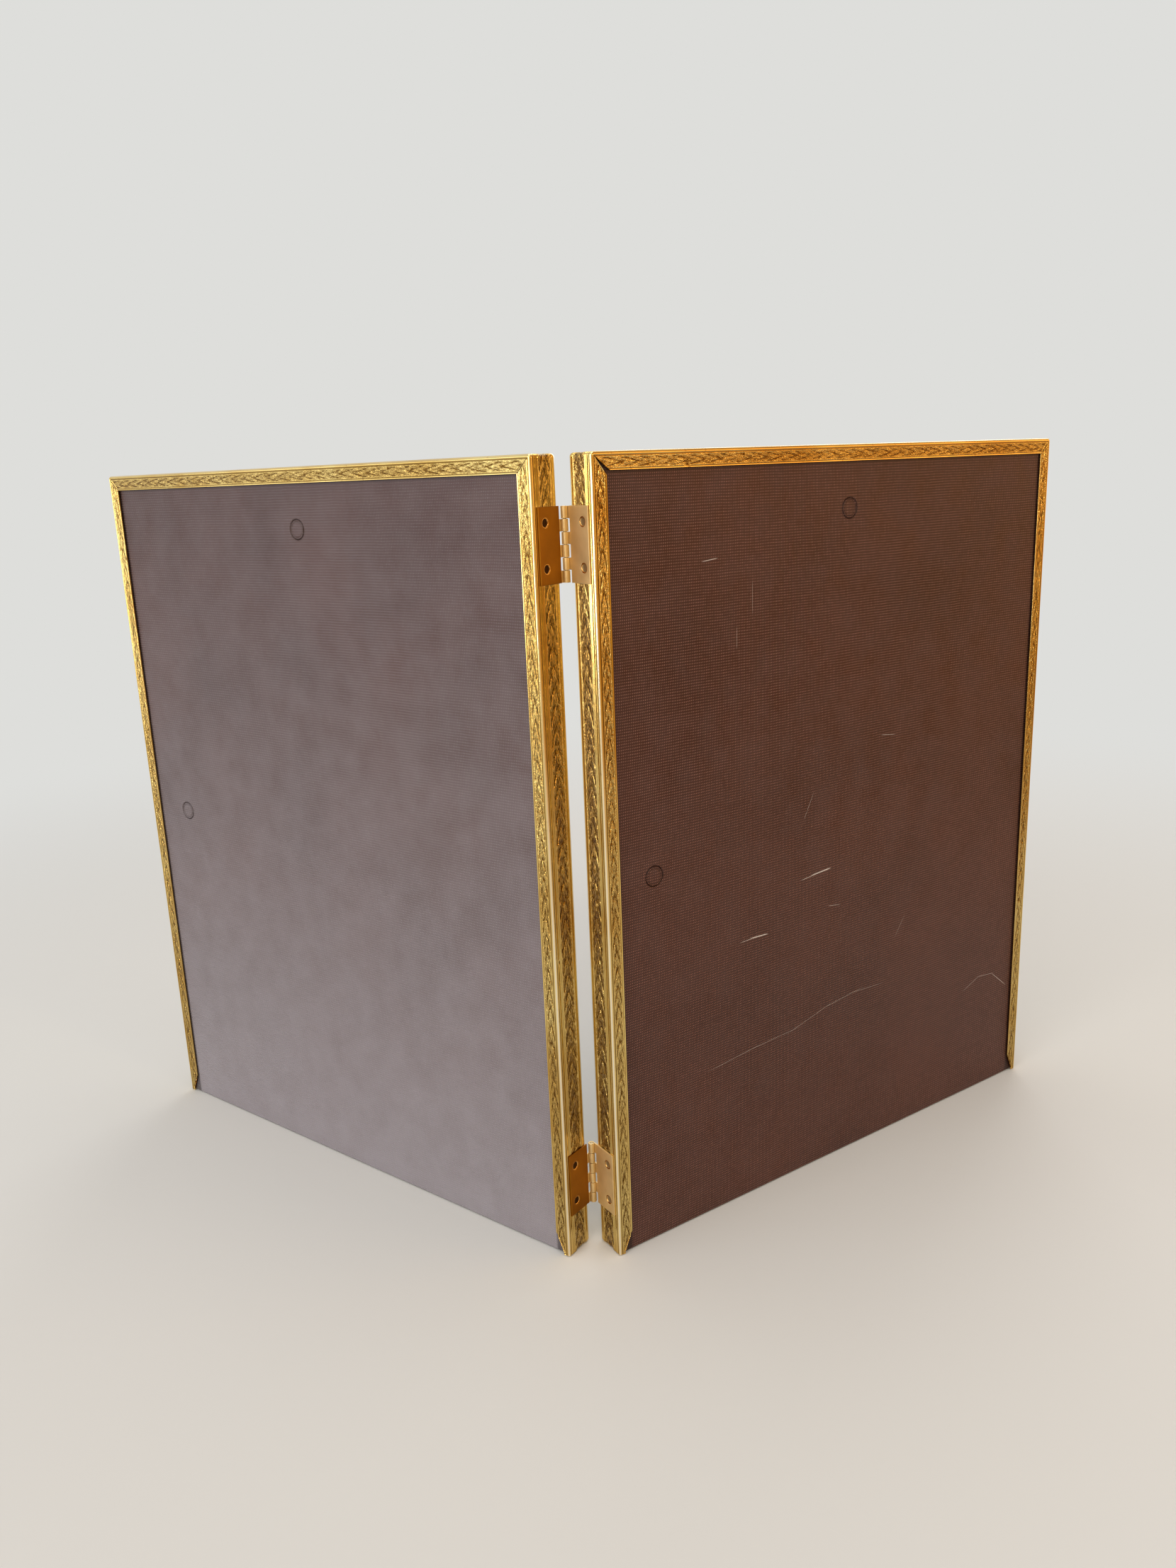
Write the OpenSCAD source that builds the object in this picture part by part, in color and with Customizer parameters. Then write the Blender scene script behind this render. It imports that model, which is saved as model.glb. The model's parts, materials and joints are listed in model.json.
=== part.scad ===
/* [Picture] */
// Width of the picture and of the glass over it
picture_w = 203.2; // [120:0.1:320]
// Height of the picture and of the glass over it
picture_h = 254; // [150:0.1:400]
// Angle between the two picture sides as the frame stands
stand_angle = 109.2; // [60:0.1:170]

/* [Metal strip] */
// Thickness of the pressed strip
strip_t = 0.5; // [0.4:0.05:0.6]
// Width of the moulding on the picture side
face_w = 6.8; // [5.5:0.1:12]
// Radius where the moulding turns into the side wall
front_r = 2; // [1.4:0.1:2.2]
// Radius where the moulding turns back to the glass
lip_r = 0.9; // [0.75:0.05:1.1]
// Depth from the picture side to the edge that holds the glass
lip_d = 1.4; // [1.2:0.1:3]
// Width of the back flange
flange_w = 5.3; // [4:0.1:9]
// Radius of the bead where the side wall turns into the flange
bead_r = 0.9; // [0.75:0.05:1.2]
// Outer radius of the strip where it is bent round a corner of the panel
corner_r = 1.1; // [1:0.1:2.6]
// Width of the seam between the mitred ends at a corner
seam_w = 0.16; // [0.08:0.02:0.3]
// Depth of the bottom wall, which the backing board passes behind
bottom_wall_d = 7.8; // [5:0.1:8.2]
// Height of the side walls and the board above the table, behind the bottom wall
foot_gap = 0.3; // [0.2:0.05:1]
// Height at which the inner edge of a flange starts its slanted end
flange_end_h = 8; // [5:0.1:14]
// Height of the tip below the slanted end of a flange
flange_tip_h = 1.6; // [0.6:0.1:3]
// Distance of that tip from the outer side of the panel
flange_tip_u = 2.3; // [2.2:0.1:3.2]

/* [Pressed lines] */
// Radius of the tool that presses a flute or an edge line
line_r = 0.2; // [0.1:0.02:0.25]
// Distance between two flutes
flute_pitch = 0.48; // [0.42:0.02:0.7]
// Number of flutes beside the ornamental band of the side wall
flute_count = 3; // [1:1:4]
// Distance from the back of the panel to the first flute
flute_back = 2.2; // [2:0.1:3.2]
// Distance from the picture side to the front edge of the ornamental band
band_front = 2.7; // [2.3:0.1:4]
// Distance of a pressed line from the edge of the bead beside it
bead_line_gap = 0.35; // [0.25:0.05:0.6]
// Width of the plain edge on the inner side of flange and moulding
plain_edge = 0.5; // [0.4:0.1:1.4]

/* [Contents] */
// Clearance of the glass at each side
pane_clear = 1.1; // [0.8:0.1:2]
// Clearance of the glass at the top
pane_top_clear = 1.7; // [0.8:0.1:3]
// Thickness of the glass
glass_t = 2; // [1.5:0.1:3]
// Thickness of the picture card
card_t = 0.4; // [0.2:0.05:1]
// Thickness of the filler pad
filler_t = 4.6; // [2:0.1:8]
// Thickness of one liner of the filler pad
liner_t = 0.5; // [0.3:0.05:0.8]
// Thickness of the wavy sheet inside the filler pad
wave_t = 0.5; // [0.3:0.05:0.8]
// Length of one wave of that sheet
wave_pitch = 8; // [6:0.5:12]
// Thickness of the backing board
board_t = 2.5; // [1.5:0.1:4]
// Running gap on each face of the backing board
board_gap = 0.3; // [0.2:0.05:0.6]
// Running gap at the sides and the top of the backing board
board_clear = 0.6; // [0.5:0.05:1]

/* [Knock-out rings] */
// Outer diameter of a ring pressed into the backing board
ring_d = 6.9; // [5:0.1:10]
// Width of the pressed groove
ring_groove = 0.45; // [0.3:0.05:1]
// Depth of the pressed groove
ring_depth = 0.35; // [0.2:0.05:0.8]
// Distance of the upper ring from the top of the panel
ring_top_drop = 20.2; // [15:0.1:40]
// Distance of the upper ring from the left side of the panel, seen from behind, left panel
ring_top_left_a = 104.5; // [60:0.1:110]
// Distance of the upper ring from the left side of the panel, seen from behind, right panel
ring_top_left_b = 102.7; // [60:0.1:110]
// Distance of the side ring from the left side of the panel, seen from behind, left panel
ring_side_left_a = 22.6; // [15:0.1:40]
// Distance of the side ring from the left side of the panel, seen from behind, right panel
ring_side_left_b = 18.9; // [15:0.1:40]

/* [Splice] */
// Thickness of the plate that joins the ends of the strip
splice_t = 0.5; // [0.3:0.05:1]
// Length of the splice plate
splice_l = 40; // [20:1:80]
// Gap between the splice plate and the bends beside it
splice_gap = 0.35; // [0.2:0.05:1]

/* [Hinges] */
// Height of a hinge
hinge_h = 22; // [18:0.5:40]
// Distance of a hinge from the top or the bottom of the panel
hinge_inset = 14.6; // [10:0.1:60]
// Thickness of a hinge leaf
leaf_t = 0.45; // [0.35:0.05:0.6]
// Width of a leaf from the axis to its outer edge
leaf_w = 11.1; // [10.4:0.1:11.1]
// Distance from the axis to the edge of a notch in the leaf
notch_w = 1.65; // [1.4:0.05:2.4]
// Number of knuckles on a hinge
knuckle_count = 6; // [4:2:8]
// Gap between two knuckles
knuckle_gap = 0.16; // [0.1:0.02:0.3]
// Diameter of the hinge pin
pin_d = 1.1; // [0.9:0.05:1.4]
// Radial clearance of the pin in the knuckles
pin_clear = 0.05; // [0.03:0.01:0.08]
// Width of the seam where a knuckle's rolled end meets its leaf
roll_seam = 0.12; // [0.08:0.02:0.2]
// Distance of the axis in front of the picture side
axis_front = 1; // [0.6:0.1:3]

/* [Rivets] */
// Diameter of a rivet's shank
rivet_d = 2; // [1.7:0.1:2.3]
// Diameter of a rivet's countersunk head
rivet_head_d = 3.5; // [2.6:0.1:4]
// Height of the head above its leaf
rivet_proud = 0.06; // [0.05:0.01:0.2]
// Diameter of the hollow in a rivet
rivet_hollow_d = 1.4; // [0.8:0.1:1.6]
// Diameter of the clinched end inside the side wall
clinch_d = 2.8; // [2.4:0.1:3.2]
// Thickness of the clinched end
clinch_t = 0.4; // [0.2:0.05:0.6]
// Clearance round a rivet
rivet_clear = 0.05; // [0.03:0.01:0.08]
// Distance of the rivets from the axis of the hinge
rivet_reach = 8.1; // [6:0.1:8.3]
// Distance of a rivet from the nearer end of its leaf
rivet_inset = 4.5; // [2.5:0.1:6]

/* [Hidden] */

$fn = 48;
// Spare length by which a cutting shape runs past what it cuts
over = 1;

// One panel: its width is x (0 at the hinge side), its depth is y (0 at the picture side), its height is z
panel_w = picture_w + 2 * (pane_clear + strip_t);
panel_h = picture_h + pane_top_clear + splice_t + 2 * strip_t;
glass_z = strip_t + splice_t;
card_y = lip_d + glass_t;
filler_y = card_y + card_t;
board_y = filler_y + filler_t + board_gap;
panel_d = board_y + board_t + board_gap + strip_t;
pane_x = strip_t + pane_clear;

// Hinge, measured from its axis
bore_r = pin_d / 2 + pin_clear;
barrel_r = bore_r + leaf_t;
knuckle_pitch = hinge_h / knuckle_count;
rivet_y = rivet_reach - axis_front;
hinge_z = [hinge_inset, panel_h - hinge_inset - hinge_h];

// The two panels stand the same angle off the line across the back
fold = (180 - stand_angle) / 2;
near_y = (bead_r + barrel_r) * sin(fold) - (panel_d - bead_r + axis_front) * cos(fold) - bead_r;
far_y = (panel_w - front_r + barrel_r) * sin(fold) - (front_r + axis_front) * cos(fold) + front_r;
hinge_y = -(near_y + far_y) / 2;

gold = [0.80, 0.60, 0.25];
brass = [0.72, 0.53, 0.27];
brown = [0.35, 0.23, 0.19];

// Puts what is drawn in panel coordinates into its place on the left or the right of the hinge
module left_panel() {
  translate([0, hinge_y, 0])
    rotate([0, 0, 180 - fold])
      translate([barrel_r, axis_front, 0])
        children();
}

module right_panel() {
  translate([0, hinge_y, 0])
    rotate([0, 0, fold])
      mirror([0, 1, 0])
        translate([barrel_r, axis_front, 0])
          children();
}

// A quarter of a bent strip: outer radius r, from the side facing -x to the side facing -y
module bend(r) {
  intersection() {
    difference() {
      circle(r = r);
      circle(r = r - strip_t);
    }
    translate([-r, -r])
      square(r);
  }
}

// Cross-section of the strip: x runs inwards from the side wall, y from the picture side to the back
module strip_profile() {
  difference() {
    union() {
      translate([0, front_r])
        square([strip_t, panel_d - bead_r - front_r]);
      translate([front_r, front_r])
        bend(front_r);
      translate([front_r, 0])
        square([face_w - lip_r - front_r, strip_t]);
      translate([face_w - lip_r, lip_r])
        mirror([1, 0])
          bend(lip_r);
      translate([face_w - strip_t, lip_r])
        square([strip_t, lip_d - lip_r]);
      translate([bead_r, panel_d - bead_r])
        mirror([0, 1])
          bend(bead_r);
      translate([bead_r, panel_d - strip_t])
        square([flange_w - bead_r, strip_t]);
    }
    pressed_lines();
  }
}

// Fine lines along the strip: the flutes and the edges of the plain and the ornamental bands
module pressed_lines() {
  for (i = [0 : flute_count - 1])
    translate([0, panel_d - flute_back - i * flute_pitch])
      circle(r = line_r);
  translate([0, band_front])
    circle(r = line_r);
  translate([0, panel_d - bead_r - bead_line_gap])
    circle(r = line_r);
  translate([bead_r + bead_line_gap, panel_d])
    circle(r = line_r);
  translate([flange_w - plain_edge, panel_d])
    circle(r = line_r);
  translate([front_r + bead_line_gap, 0])
    circle(r = line_r);
  translate([face_w - lip_r - plain_edge, 0])
    circle(r = line_r);
}

// The part of the cross-section that runs along the bottom: no flutes, bead or flange
module bottom_profile() {
  intersection() {
    strip_profile();
    square([face_w, bottom_wall_d]);
  }
}

// Space that a side of the given length may fill, with mitred ends beyond the corner's radius
module mitre_space(side_l) {
  deep = face_w + over;
  half_seam = seam_w / 2 * sqrt(2);
  translate([0, panel_d + over, 0])
    rotate([90, 0, 0])
      linear_extrude(height = panel_d + 2 * over)
        polygon([[-over, corner_r], [corner_r, corner_r], [corner_r, corner_r + half_seam],
                 [deep, deep + half_seam], [deep, side_l - deep - half_seam],
                 [corner_r, side_l - corner_r - half_seam], [corner_r, side_l - corner_r],
                 [-over, side_l - corner_r]]);
}

// Space behind the bottom wall: the side wall runs down to the table and the flange ends on a slant
module foot_space() {
  deep = face_w + over;
  slope = (flange_end_h - flange_tip_h) / (flange_w - flange_tip_u);
  translate([0, panel_d + over, 0])
    rotate([90, 0, 0])
      linear_extrude(height = panel_d + over - bottom_wall_d)
        polygon([[-over, foot_gap], [flange_tip_u, foot_gap], [flange_tip_u, flange_tip_h],
                 [deep, flange_tip_h + slope * (deep - flange_tip_u)], [deep, panel_h / 2],
                 [-over, panel_h / 2]]);
}

module side_length() {
  intersection() {
    linear_extrude(height = panel_h)
      strip_profile();
    union() {
      mitre_space(panel_h);
      foot_space();
    }
  }
}

// A top or bottom length, drawn upright like a side, then laid along the panel's width
module laid_length() {
  rotate([0, 90, 0])
    intersection() {
      linear_extrude(height = panel_w)
        children();
      mitre_space(panel_w);
    }
}

// The strip bent round the corner at the hinge side, measured from that corner's top
module strip_corner() {
  translate([corner_r, 0, -corner_r])
    rotate([90, 0, 180])
      rotate_extrude(angle = 90)
        intersection() {
          translate([corner_r, 0])
            mirror([1, 0])
              children();
          square([corner_r, panel_d]);
        }
}

module both_ends() {
  children();
  translate([panel_w, 0, 0])
    mirror([1, 0, 0])
      children();
}

module frame_strip() {
  difference() {
    union() {
      both_ends() {
        side_length();
        translate([0, 0, panel_h])
          strip_corner()
            strip_profile();
        mirror([0, 0, 1])
          strip_corner()
            bottom_profile();
      }
      translate([0, 0, panel_h])
        laid_length()
          strip_profile();
      mirror([0, 0, 1])
        laid_length()
          bottom_profile();
    }
    at_rivets()
      rotate([0, 90, 0])
        cylinder(d = rivet_d + 2 * rivet_clear, h = 2 * strip_t, center = true);
  }
}

// Places what is drawn at each rivet of the panel, on the outer face of the side wall
module at_rivets() {
  for (z = hinge_z, up = [rivet_inset, hinge_h - rivet_inset])
    translate([0, rivet_y, z + up])
      children();
}

module splice_plate() {
  translate([(panel_w - splice_l) / 2, front_r + splice_gap, strip_t])
    cube([splice_l, bottom_wall_d - front_r - 2 * splice_gap, splice_t]);
}

module pane(y, thickness) {
  translate([pane_x, y, glass_z])
    cube([picture_w, thickness, picture_h]);
}

// Corrugated pad: two flat liners and a wavy sheet whose crests are glued to them
module filler_pad() {
  crest = filler_t / 2 - liner_t;
  half_waves = floor(2 * picture_w / wave_pitch);
  run = picture_w / half_waves;
  translate([pane_x, filler_y, glass_z])
    linear_extrude(height = picture_h) {
      square([picture_w, liner_t]);
      translate([0, filler_t - liner_t])
        square([picture_w, liner_t]);
      for (i = [0 : half_waves - 1])
        wave_flank([i * run, filler_t / 2 + (i % 2 == 0 ? -crest : crest)],
                   [(i + 1) * run, filler_t / 2 + (i % 2 == 0 ? crest : -crest)]);
    }
}

// One flank of the wavy sheet, from one liner's inner face to the other's
module wave_flank(a, b) {
  half = wave_t / 2;
  polygon([[a[0], a[1] - half], [b[0], b[1] - half], [b[0], b[1] + half], [a[0], a[1] + half]]);
}

module backing_board(top_left, side_left) {
  board_w = panel_w - 2 * (strip_t + board_clear);
  board_h = panel_h - strip_t - board_clear - foot_gap;
  difference() {
    translate([strip_t + board_clear, board_y, foot_gap])
      cube([board_w, board_t, board_h]);
    knock_out_ring(top_left, panel_h - ring_top_drop);
    knock_out_ring(side_left, panel_h / 2);
  }
}

// A round groove pressed into the back of the board
module knock_out_ring(x, z) {
  translate([x, board_y + board_t - ring_depth, z])
    rotate([-90, 0, 0])
      difference() {
        cylinder(d = ring_d, h = ring_depth + over);
        translate([0, 0, -over])
          cylinder(d = ring_d - 2 * ring_groove, h = ring_depth + 3 * over);
      }
}

// A hinge leaf with every second knuckle, from the given one up; its other places are notched
module hinge_leaf(z, first) {
  difference() {
    translate([0, 0, z])
      union() {
        translate([-leaf_t, notch_w - axis_front, 0])
          cube([leaf_t, leaf_w - notch_w, hinge_h]);
        for (i = [first : 2 : knuckle_count - 1])
          translate([-barrel_r, -axis_front, i * knuckle_pitch + knuckle_gap / 2])
            knuckle();
      }
    at_rivets()
      rotate([0, 90, 0])
        countersink();
  }
}

// One knuckle: the leaf's end rolled round the pin, tangent to the face that lies on the wall
module knuckle() {
  long = knuckle_pitch - knuckle_gap;
  difference() {
    union() {
      cylinder(r = barrel_r, h = long);
      translate([bore_r, 0, 0])
        cube([leaf_t, notch_w + strip_t, long]);
    }
    translate([0, 0, -over])
      cylinder(r = bore_r, h = long + 2 * over);
    translate([bore_r - roll_seam - pin_clear, 0, -over])
      cube([roll_seam, barrel_r + over, long + 2 * over]);
  }
}

// Hole for a rivet, drawn along z with the wall at z = 0 and the leaf below it
module countersink() {
  head_r = rivet_head_d / 2 + rivet_clear;
  hole_r = rivet_d / 2 + rivet_clear;
  translate([0, 0, -leaf_t - over])
    cylinder(r = hole_r, h = leaf_t + 2 * over);
  translate([0, 0, -leaf_t])
    cylinder(r1 = head_r, r2 = hole_r, h = leaf_t * 3 / 4);
  translate([0, 0, -leaf_t - over])
    cylinder(r = head_r, h = over);
}

// A tubular rivet, drawn along z with the wall's outer face at z = 0
module rivet() {
  shank_r = rivet_d / 2;
  head_r = rivet_head_d / 2;
  rise = rivet_proud / 3;
  rotate_extrude()
    polygon([[0, 0], [rivet_hollow_d / 2, 0], [rivet_hollow_d / 2, -leaf_t],
             [(shank_r + rivet_hollow_d / 2) / 2, -leaf_t - rivet_proud],
             [shank_r + rise, -leaf_t - rivet_proud], [head_r - rise, -leaf_t - rise],
             [head_r, -leaf_t], [shank_r, -leaf_t / 4], [shank_r, strip_t],
             [clinch_d / 2, strip_t], [clinch_d / 2 - rise, strip_t + clinch_t],
             [0, strip_t + clinch_t]]);
}

module hinge_pin(z) {
  translate([0, hinge_y, z + knuckle_gap])
    cylinder(d = pin_d, h = hinge_h - 2 * knuckle_gap);
}

module left_frame_strip() { color(gold) left_panel() frame_strip(); }
module right_frame_strip() { color(gold) right_panel() frame_strip(); }
module left_splice_plate() { color("silver") left_panel() splice_plate(); }
module right_splice_plate() { color("silver") right_panel() splice_plate(); }
module left_glass() { color([0.8, 0.9, 0.9, 0.35]) left_panel() pane(lip_d, glass_t); }
module right_glass() { color([0.8, 0.9, 0.9, 0.35]) right_panel() pane(lip_d, glass_t); }
module left_picture_card() { color("ivory") left_panel() pane(card_y, card_t); }
module right_picture_card() { color("ivory") right_panel() pane(card_y, card_t); }
module left_filler_pad() { color("tan") left_panel() filler_pad(); }
module right_filler_pad() { color("tan") right_panel() filler_pad(); }
module left_upper_leaf() { color(brass) left_panel() hinge_leaf(hinge_z[1], 0); }
module left_lower_leaf() { color(brass) left_panel() hinge_leaf(hinge_z[0], 0); }
module right_upper_leaf() { color(brass) right_panel() hinge_leaf(hinge_z[1], 1); }
module right_lower_leaf() { color(brass) right_panel() hinge_leaf(hinge_z[0], 1); }
module upper_pin() { color("goldenrod") hinge_pin(hinge_z[1]); }
module lower_pin() { color("goldenrod") hinge_pin(hinge_z[0]); }

module left_rivets() {
  color("peru")
    left_panel()
      at_rivets()
        rotate([0, 90, 0])
          rivet();
}

module right_rivets() {
  color("peru")
    right_panel()
      at_rivets()
        rotate([0, 90, 0])
          rivet();
}

// Seen from behind, the left panel's left side is the one away from the hinge
module left_backing_board() {
  color(brown)
    left_panel()
      backing_board(panel_w - ring_top_left_a, panel_w - ring_side_left_a);
}

module right_backing_board() {
  color(brown)
    right_panel()
      backing_board(ring_top_left_b, ring_side_left_b);
}

left_frame_strip();
left_splice_plate();
left_glass();
left_picture_card();
left_filler_pad();
left_backing_board();
left_upper_leaf();
left_lower_leaf();
left_rivets();
upper_pin();
lower_pin();
right_frame_strip();
right_splice_plate();
right_glass();
right_picture_card();
right_filler_pad();
right_backing_board();
right_upper_leaf();
right_lower_leaf();
right_rivets();
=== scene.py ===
"""Hinged double photo frame: the looks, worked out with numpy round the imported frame."""

import json

import bpy
import numpy as np
from bpy.props import FloatProperty, FloatVectorProperty, PointerProperty
from mathutils import Euler, Matrix, Vector


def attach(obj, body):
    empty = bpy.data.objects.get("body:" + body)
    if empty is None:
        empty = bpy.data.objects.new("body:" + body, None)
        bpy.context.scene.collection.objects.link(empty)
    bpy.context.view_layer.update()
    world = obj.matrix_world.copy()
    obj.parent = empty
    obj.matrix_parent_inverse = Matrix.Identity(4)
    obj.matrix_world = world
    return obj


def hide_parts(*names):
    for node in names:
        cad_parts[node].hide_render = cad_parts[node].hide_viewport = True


bl_info = {
    "name": "Hinged double photo frame",
    "version": (1, 0, 0),
    "blender": (4, 5, 0),
    "location": "3D Viewport > Sidebar > Photo Frame",
    "description": "Builds the pressed strips, boards, hinges and stage of a hinged double photo frame",
    "category": "Object",
}

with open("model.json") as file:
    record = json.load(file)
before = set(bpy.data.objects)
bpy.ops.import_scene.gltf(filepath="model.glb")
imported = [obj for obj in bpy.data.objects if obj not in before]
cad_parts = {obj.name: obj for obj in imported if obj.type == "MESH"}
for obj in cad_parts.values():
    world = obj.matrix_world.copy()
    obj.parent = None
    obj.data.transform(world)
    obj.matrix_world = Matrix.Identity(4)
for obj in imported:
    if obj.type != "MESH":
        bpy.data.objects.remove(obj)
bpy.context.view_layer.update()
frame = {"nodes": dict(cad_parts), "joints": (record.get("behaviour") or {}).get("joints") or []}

MM = 0.001
LEFT, RIGHT = -1, 1
SIDES = ((LEFT, "left"), (RIGHT, "right"))

# Where the panels stand: the hinge axis and the two panels' angle off the line across the back
FOLD_JOINT = next(j for j in frame["joints"] if j["name"] == "fold")
HALF_FOLD = np.radians(-FOLD_JOINT["range_deg"][0] / 2)
AXIS_Y = FOLD_JOINT["pos_m"][1] / MM

# Sizes of one panel in millimetres: u from the hinge side, v from the picture side, z up
PANEL_W, PANEL_H, PANEL_D = 206.4, 257.2, 12.0
BARREL_R, AXIS_FRONT = 1.05, 1.0
STRIP_T, FLANGE_W, FACE_W = 0.5, 5.3, 6.8
BEAD_R, FRONT_R, LIP_R, LIP_D, CORNER_R = 0.9, 2.0, 0.9, 1.4, 1.1
BOTTOM_WALL_D, FOOT_GAP, TIP_U, FLANGE_END_H = 7.8, 0.3, 2.3, 8.0
BOARD_V, BOARD_T, BOARD_CLEAR = 8.7, 2.5, 0.6
LEAF_T, LEAF_W, NOTCH_W, HINGE_H, HINGE_INSET = 0.45, 11.1, 1.65, 22.0, 14.6
KNUCKLES, KNUCKLE_GAP, PIN_R = 6, 0.16, 0.55
RIVET_V, RIVET_INSET = 7.1, 4.5
CARD_V, CARD_T, CARD_INSET, CARD_Z = 3.46, 0.3, 1.65, (1.05, 254.95)


def linear(hex_code):
    """An sRGB hex colour as linear red, green, blue and alpha."""
    c = np.array([int(hex_code[i : i + 2], 16) for i in (1, 3, 5)]) / 255
    c = np.where(c <= 0.04045, c / 12.92, ((c + 0.055) / 1.055) ** 2.4)
    return (*c.tolist(), 1.0)


def colour(name, text, hex_code):
    return FloatVectorProperty(
        name=name, description=text, subtype="COLOR", size=4, min=0, max=1, default=linear(hex_code)
    )


def length(name, text, millimetres, low, high):
    return FloatProperty(
        name=name, description=text, default=millimetres * MM, min=low * MM, max=high * MM,
        subtype="DISTANCE", unit="LENGTH", precision=5,
    )


class StripSizes(bpy.types.PropertyGroup):
    leaf_pitch: length("Leaf pitch", "Distance from one pressed leaf to the next", 6.1, 3, 12)
    relief: length("Relief", "Depth of the pressed ornament below the plain bands", 0.25, 0.05, 0.4)
    line_depth: length("Line depth", "Depth of the fine pressed lines", 0.16, 0.02, 0.3)
    row_step: length("Row step", "Distance between two rows of points along the strip", 0.4, 0.2, 2)
    wedge: length("Open mitre", "Opening of the gaping mitre at its inner end", 2.3, 0, 2.4)


class BoardSizes(bpy.types.PropertyGroup):
    dot_u: length("Dot pitch across", "Distance between linen dots across the board", 0.68, 0.3, 3)
    dot_z: length("Dot pitch up", "Distance between rows of linen dots", 0.88, 0.3, 3)
    bow: length("Bow", "Height of the board's soft waves", 0.05, 0, 0.2)


class FrameColours(bpy.types.PropertyGroup):
    gold: colour("Gold plating", "Raised parts of the pressed strip", "#E8CC80")
    # The hollow colour is painted shade: it darkens the ornament's hollows, grooves and nicks
    hollow: colour("Hollow", "Darkened plating in the hollows of the ornament", "#6E4D19")
    brass: colour("Satin brass", "Right hinge leaves and knuckles", "#EBCF96")
    # The left leaves' browned brass is a painted-shade copy of the right leaves' brass
    shaded_brass: colour("Browned brass", "Left hinge leaves, darker with age", "#9B661A")
    board: colour("Board", "Linen-embossed backing board", "#4E2D22")
    card: colour("Card", "Plain picture card", "#F0EBDD")
    floor: colour("Floor", "Stage floor and backdrop", "#D9D7D3")


def settings(name):
    return getattr(bpy.context.scene, "photo_frame_" + name)


# ---- Points, meshes and objects


def place(side, u, v, z):
    """Panel millimetres to the row frame in metres.

    They are shifted by barrel and axis, turned by half the fold, and mirrored for the left panel.
    """
    c, s = np.cos(HALF_FOLD), np.sin(HALF_FOLD)
    across, deep = np.asarray(u, float) + BARREL_R, np.asarray(v, float) + AXIS_FRONT
    x = side * (across * c + deep * s)
    y = across * s - deep * c + AXIS_Y
    return np.stack(np.broadcast_arrays(x, y, np.asarray(z, float)), -1) * MM


class Shell:
    """Points and faces gathered from several closed surfaces; each is turned outwards before it is added."""

    def __init__(self):
        self.points, self.faces, self.values, self.count = [], [], {}, 0

    def add(self, points, faces, **values):
        """Adds one closed surface, with values for its points.

        A sixth of the sum of a . (b x c) over its triangles is its volume, and is negative if they point inwards.
        """
        volume = 0.0
        for f in faces:
            f = np.asarray(f)
            for k in range(1, f.shape[1] - 1):
                a, b, c = points[f[:, 0]], points[f[:, k]], points[f[:, k + 1]]
                volume += np.einsum("ij,ij->", a, np.cross(b, c))
        step = 1 if volume > 0 else -1
        self.points.append(points)
        self.faces += [np.asarray(f)[:, ::step] + self.count for f in faces]
        for k, v in values.items():
            self.values.setdefault(k, []).append(np.broadcast_to(v, len(points)).astype(np.float32))
        self.count += len(points)

    def build(self, name, material, sharp=35.0):
        """One mesh object at the origin, smooth but for edges sharper than the given angle."""
        mesh = bpy.data.meshes.new(name)
        points = np.concatenate(self.points).astype(np.float32)
        sizes = np.concatenate([np.full(len(f), f.shape[1], np.int32) for f in self.faces])
        corners = np.concatenate([f.ravel() for f in self.faces]).astype(np.int32)
        mesh.vertices.add(len(points))
        mesh.vertices.foreach_set("co", points.ravel())
        mesh.loops.add(len(corners))
        mesh.loops.foreach_set("vertex_index", corners)
        mesh.polygons.add(len(sizes))
        mesh.polygons.foreach_set("loop_start", np.concatenate([[0], np.cumsum(sizes)[:-1]]).astype(np.int32))
        mesh.polygons.foreach_set("use_smooth", np.ones(len(sizes), bool))
        for key, parts in self.values.items():
            layer = mesh.attributes.new(key, "FLOAT", "POINT")
            layer.data.foreach_set("value", np.concatenate(parts))
        mesh.update(calc_edges=True)
        mesh.set_sharp_from_angle(angle=np.radians(sharp))
        mesh.materials.append(material)
        piece = bpy.data.objects.new(name, mesh)
        bpy.context.collection.objects.link(piece)
        return piece


def tube_faces(rows, columns):
    """Quads of a closed tube with the given rows, each a closed loop of columns, and a cap at both ends."""
    i, j = np.meshgrid(np.arange(rows - 1), np.arange(columns), indexing="ij")
    a, b = i * columns + j, i * columns + (j + 1) % columns
    quads = np.stack([a, b, b + columns, a + columns], -1).reshape(-1, 4)
    first, last = np.arange(columns)[::-1], np.arange(columns) + (rows - 1) * columns
    return [quads, first[None, :], last[None, :]]


def slab_faces(rows, columns):
    """Quads of a closed slab: a grid of points, a second grid behind it, and a strip round the rim that joins them."""
    i, j = np.meshgrid(np.arange(rows - 1), np.arange(columns - 1), indexing="ij")
    a = (i * columns + j).ravel()
    face = np.stack([a, a + 1, a + columns + 1, a + columns], -1)
    rim = np.concatenate([
        np.arange(columns), np.arange(1, rows) * columns + columns - 1,
        (rows - 1) * columns + np.arange(columns - 2, -1, -1), np.arange(rows - 2, 0, -1) * columns,
    ])
    after, back = np.roll(rim, -1), rows * columns
    return [face, face[:, ::-1] + back, np.stack([rim, rim + back, after + back, after], -1)]


def arc(cx, cy, radius, angles):
    """Points and outward directions on an arc at the given angles in degrees."""
    t = np.radians(np.asarray(angles, float))
    d = np.stack([np.cos(t), np.sin(t)], -1)
    return np.array([cx, cy]) + radius * d, d


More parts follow.
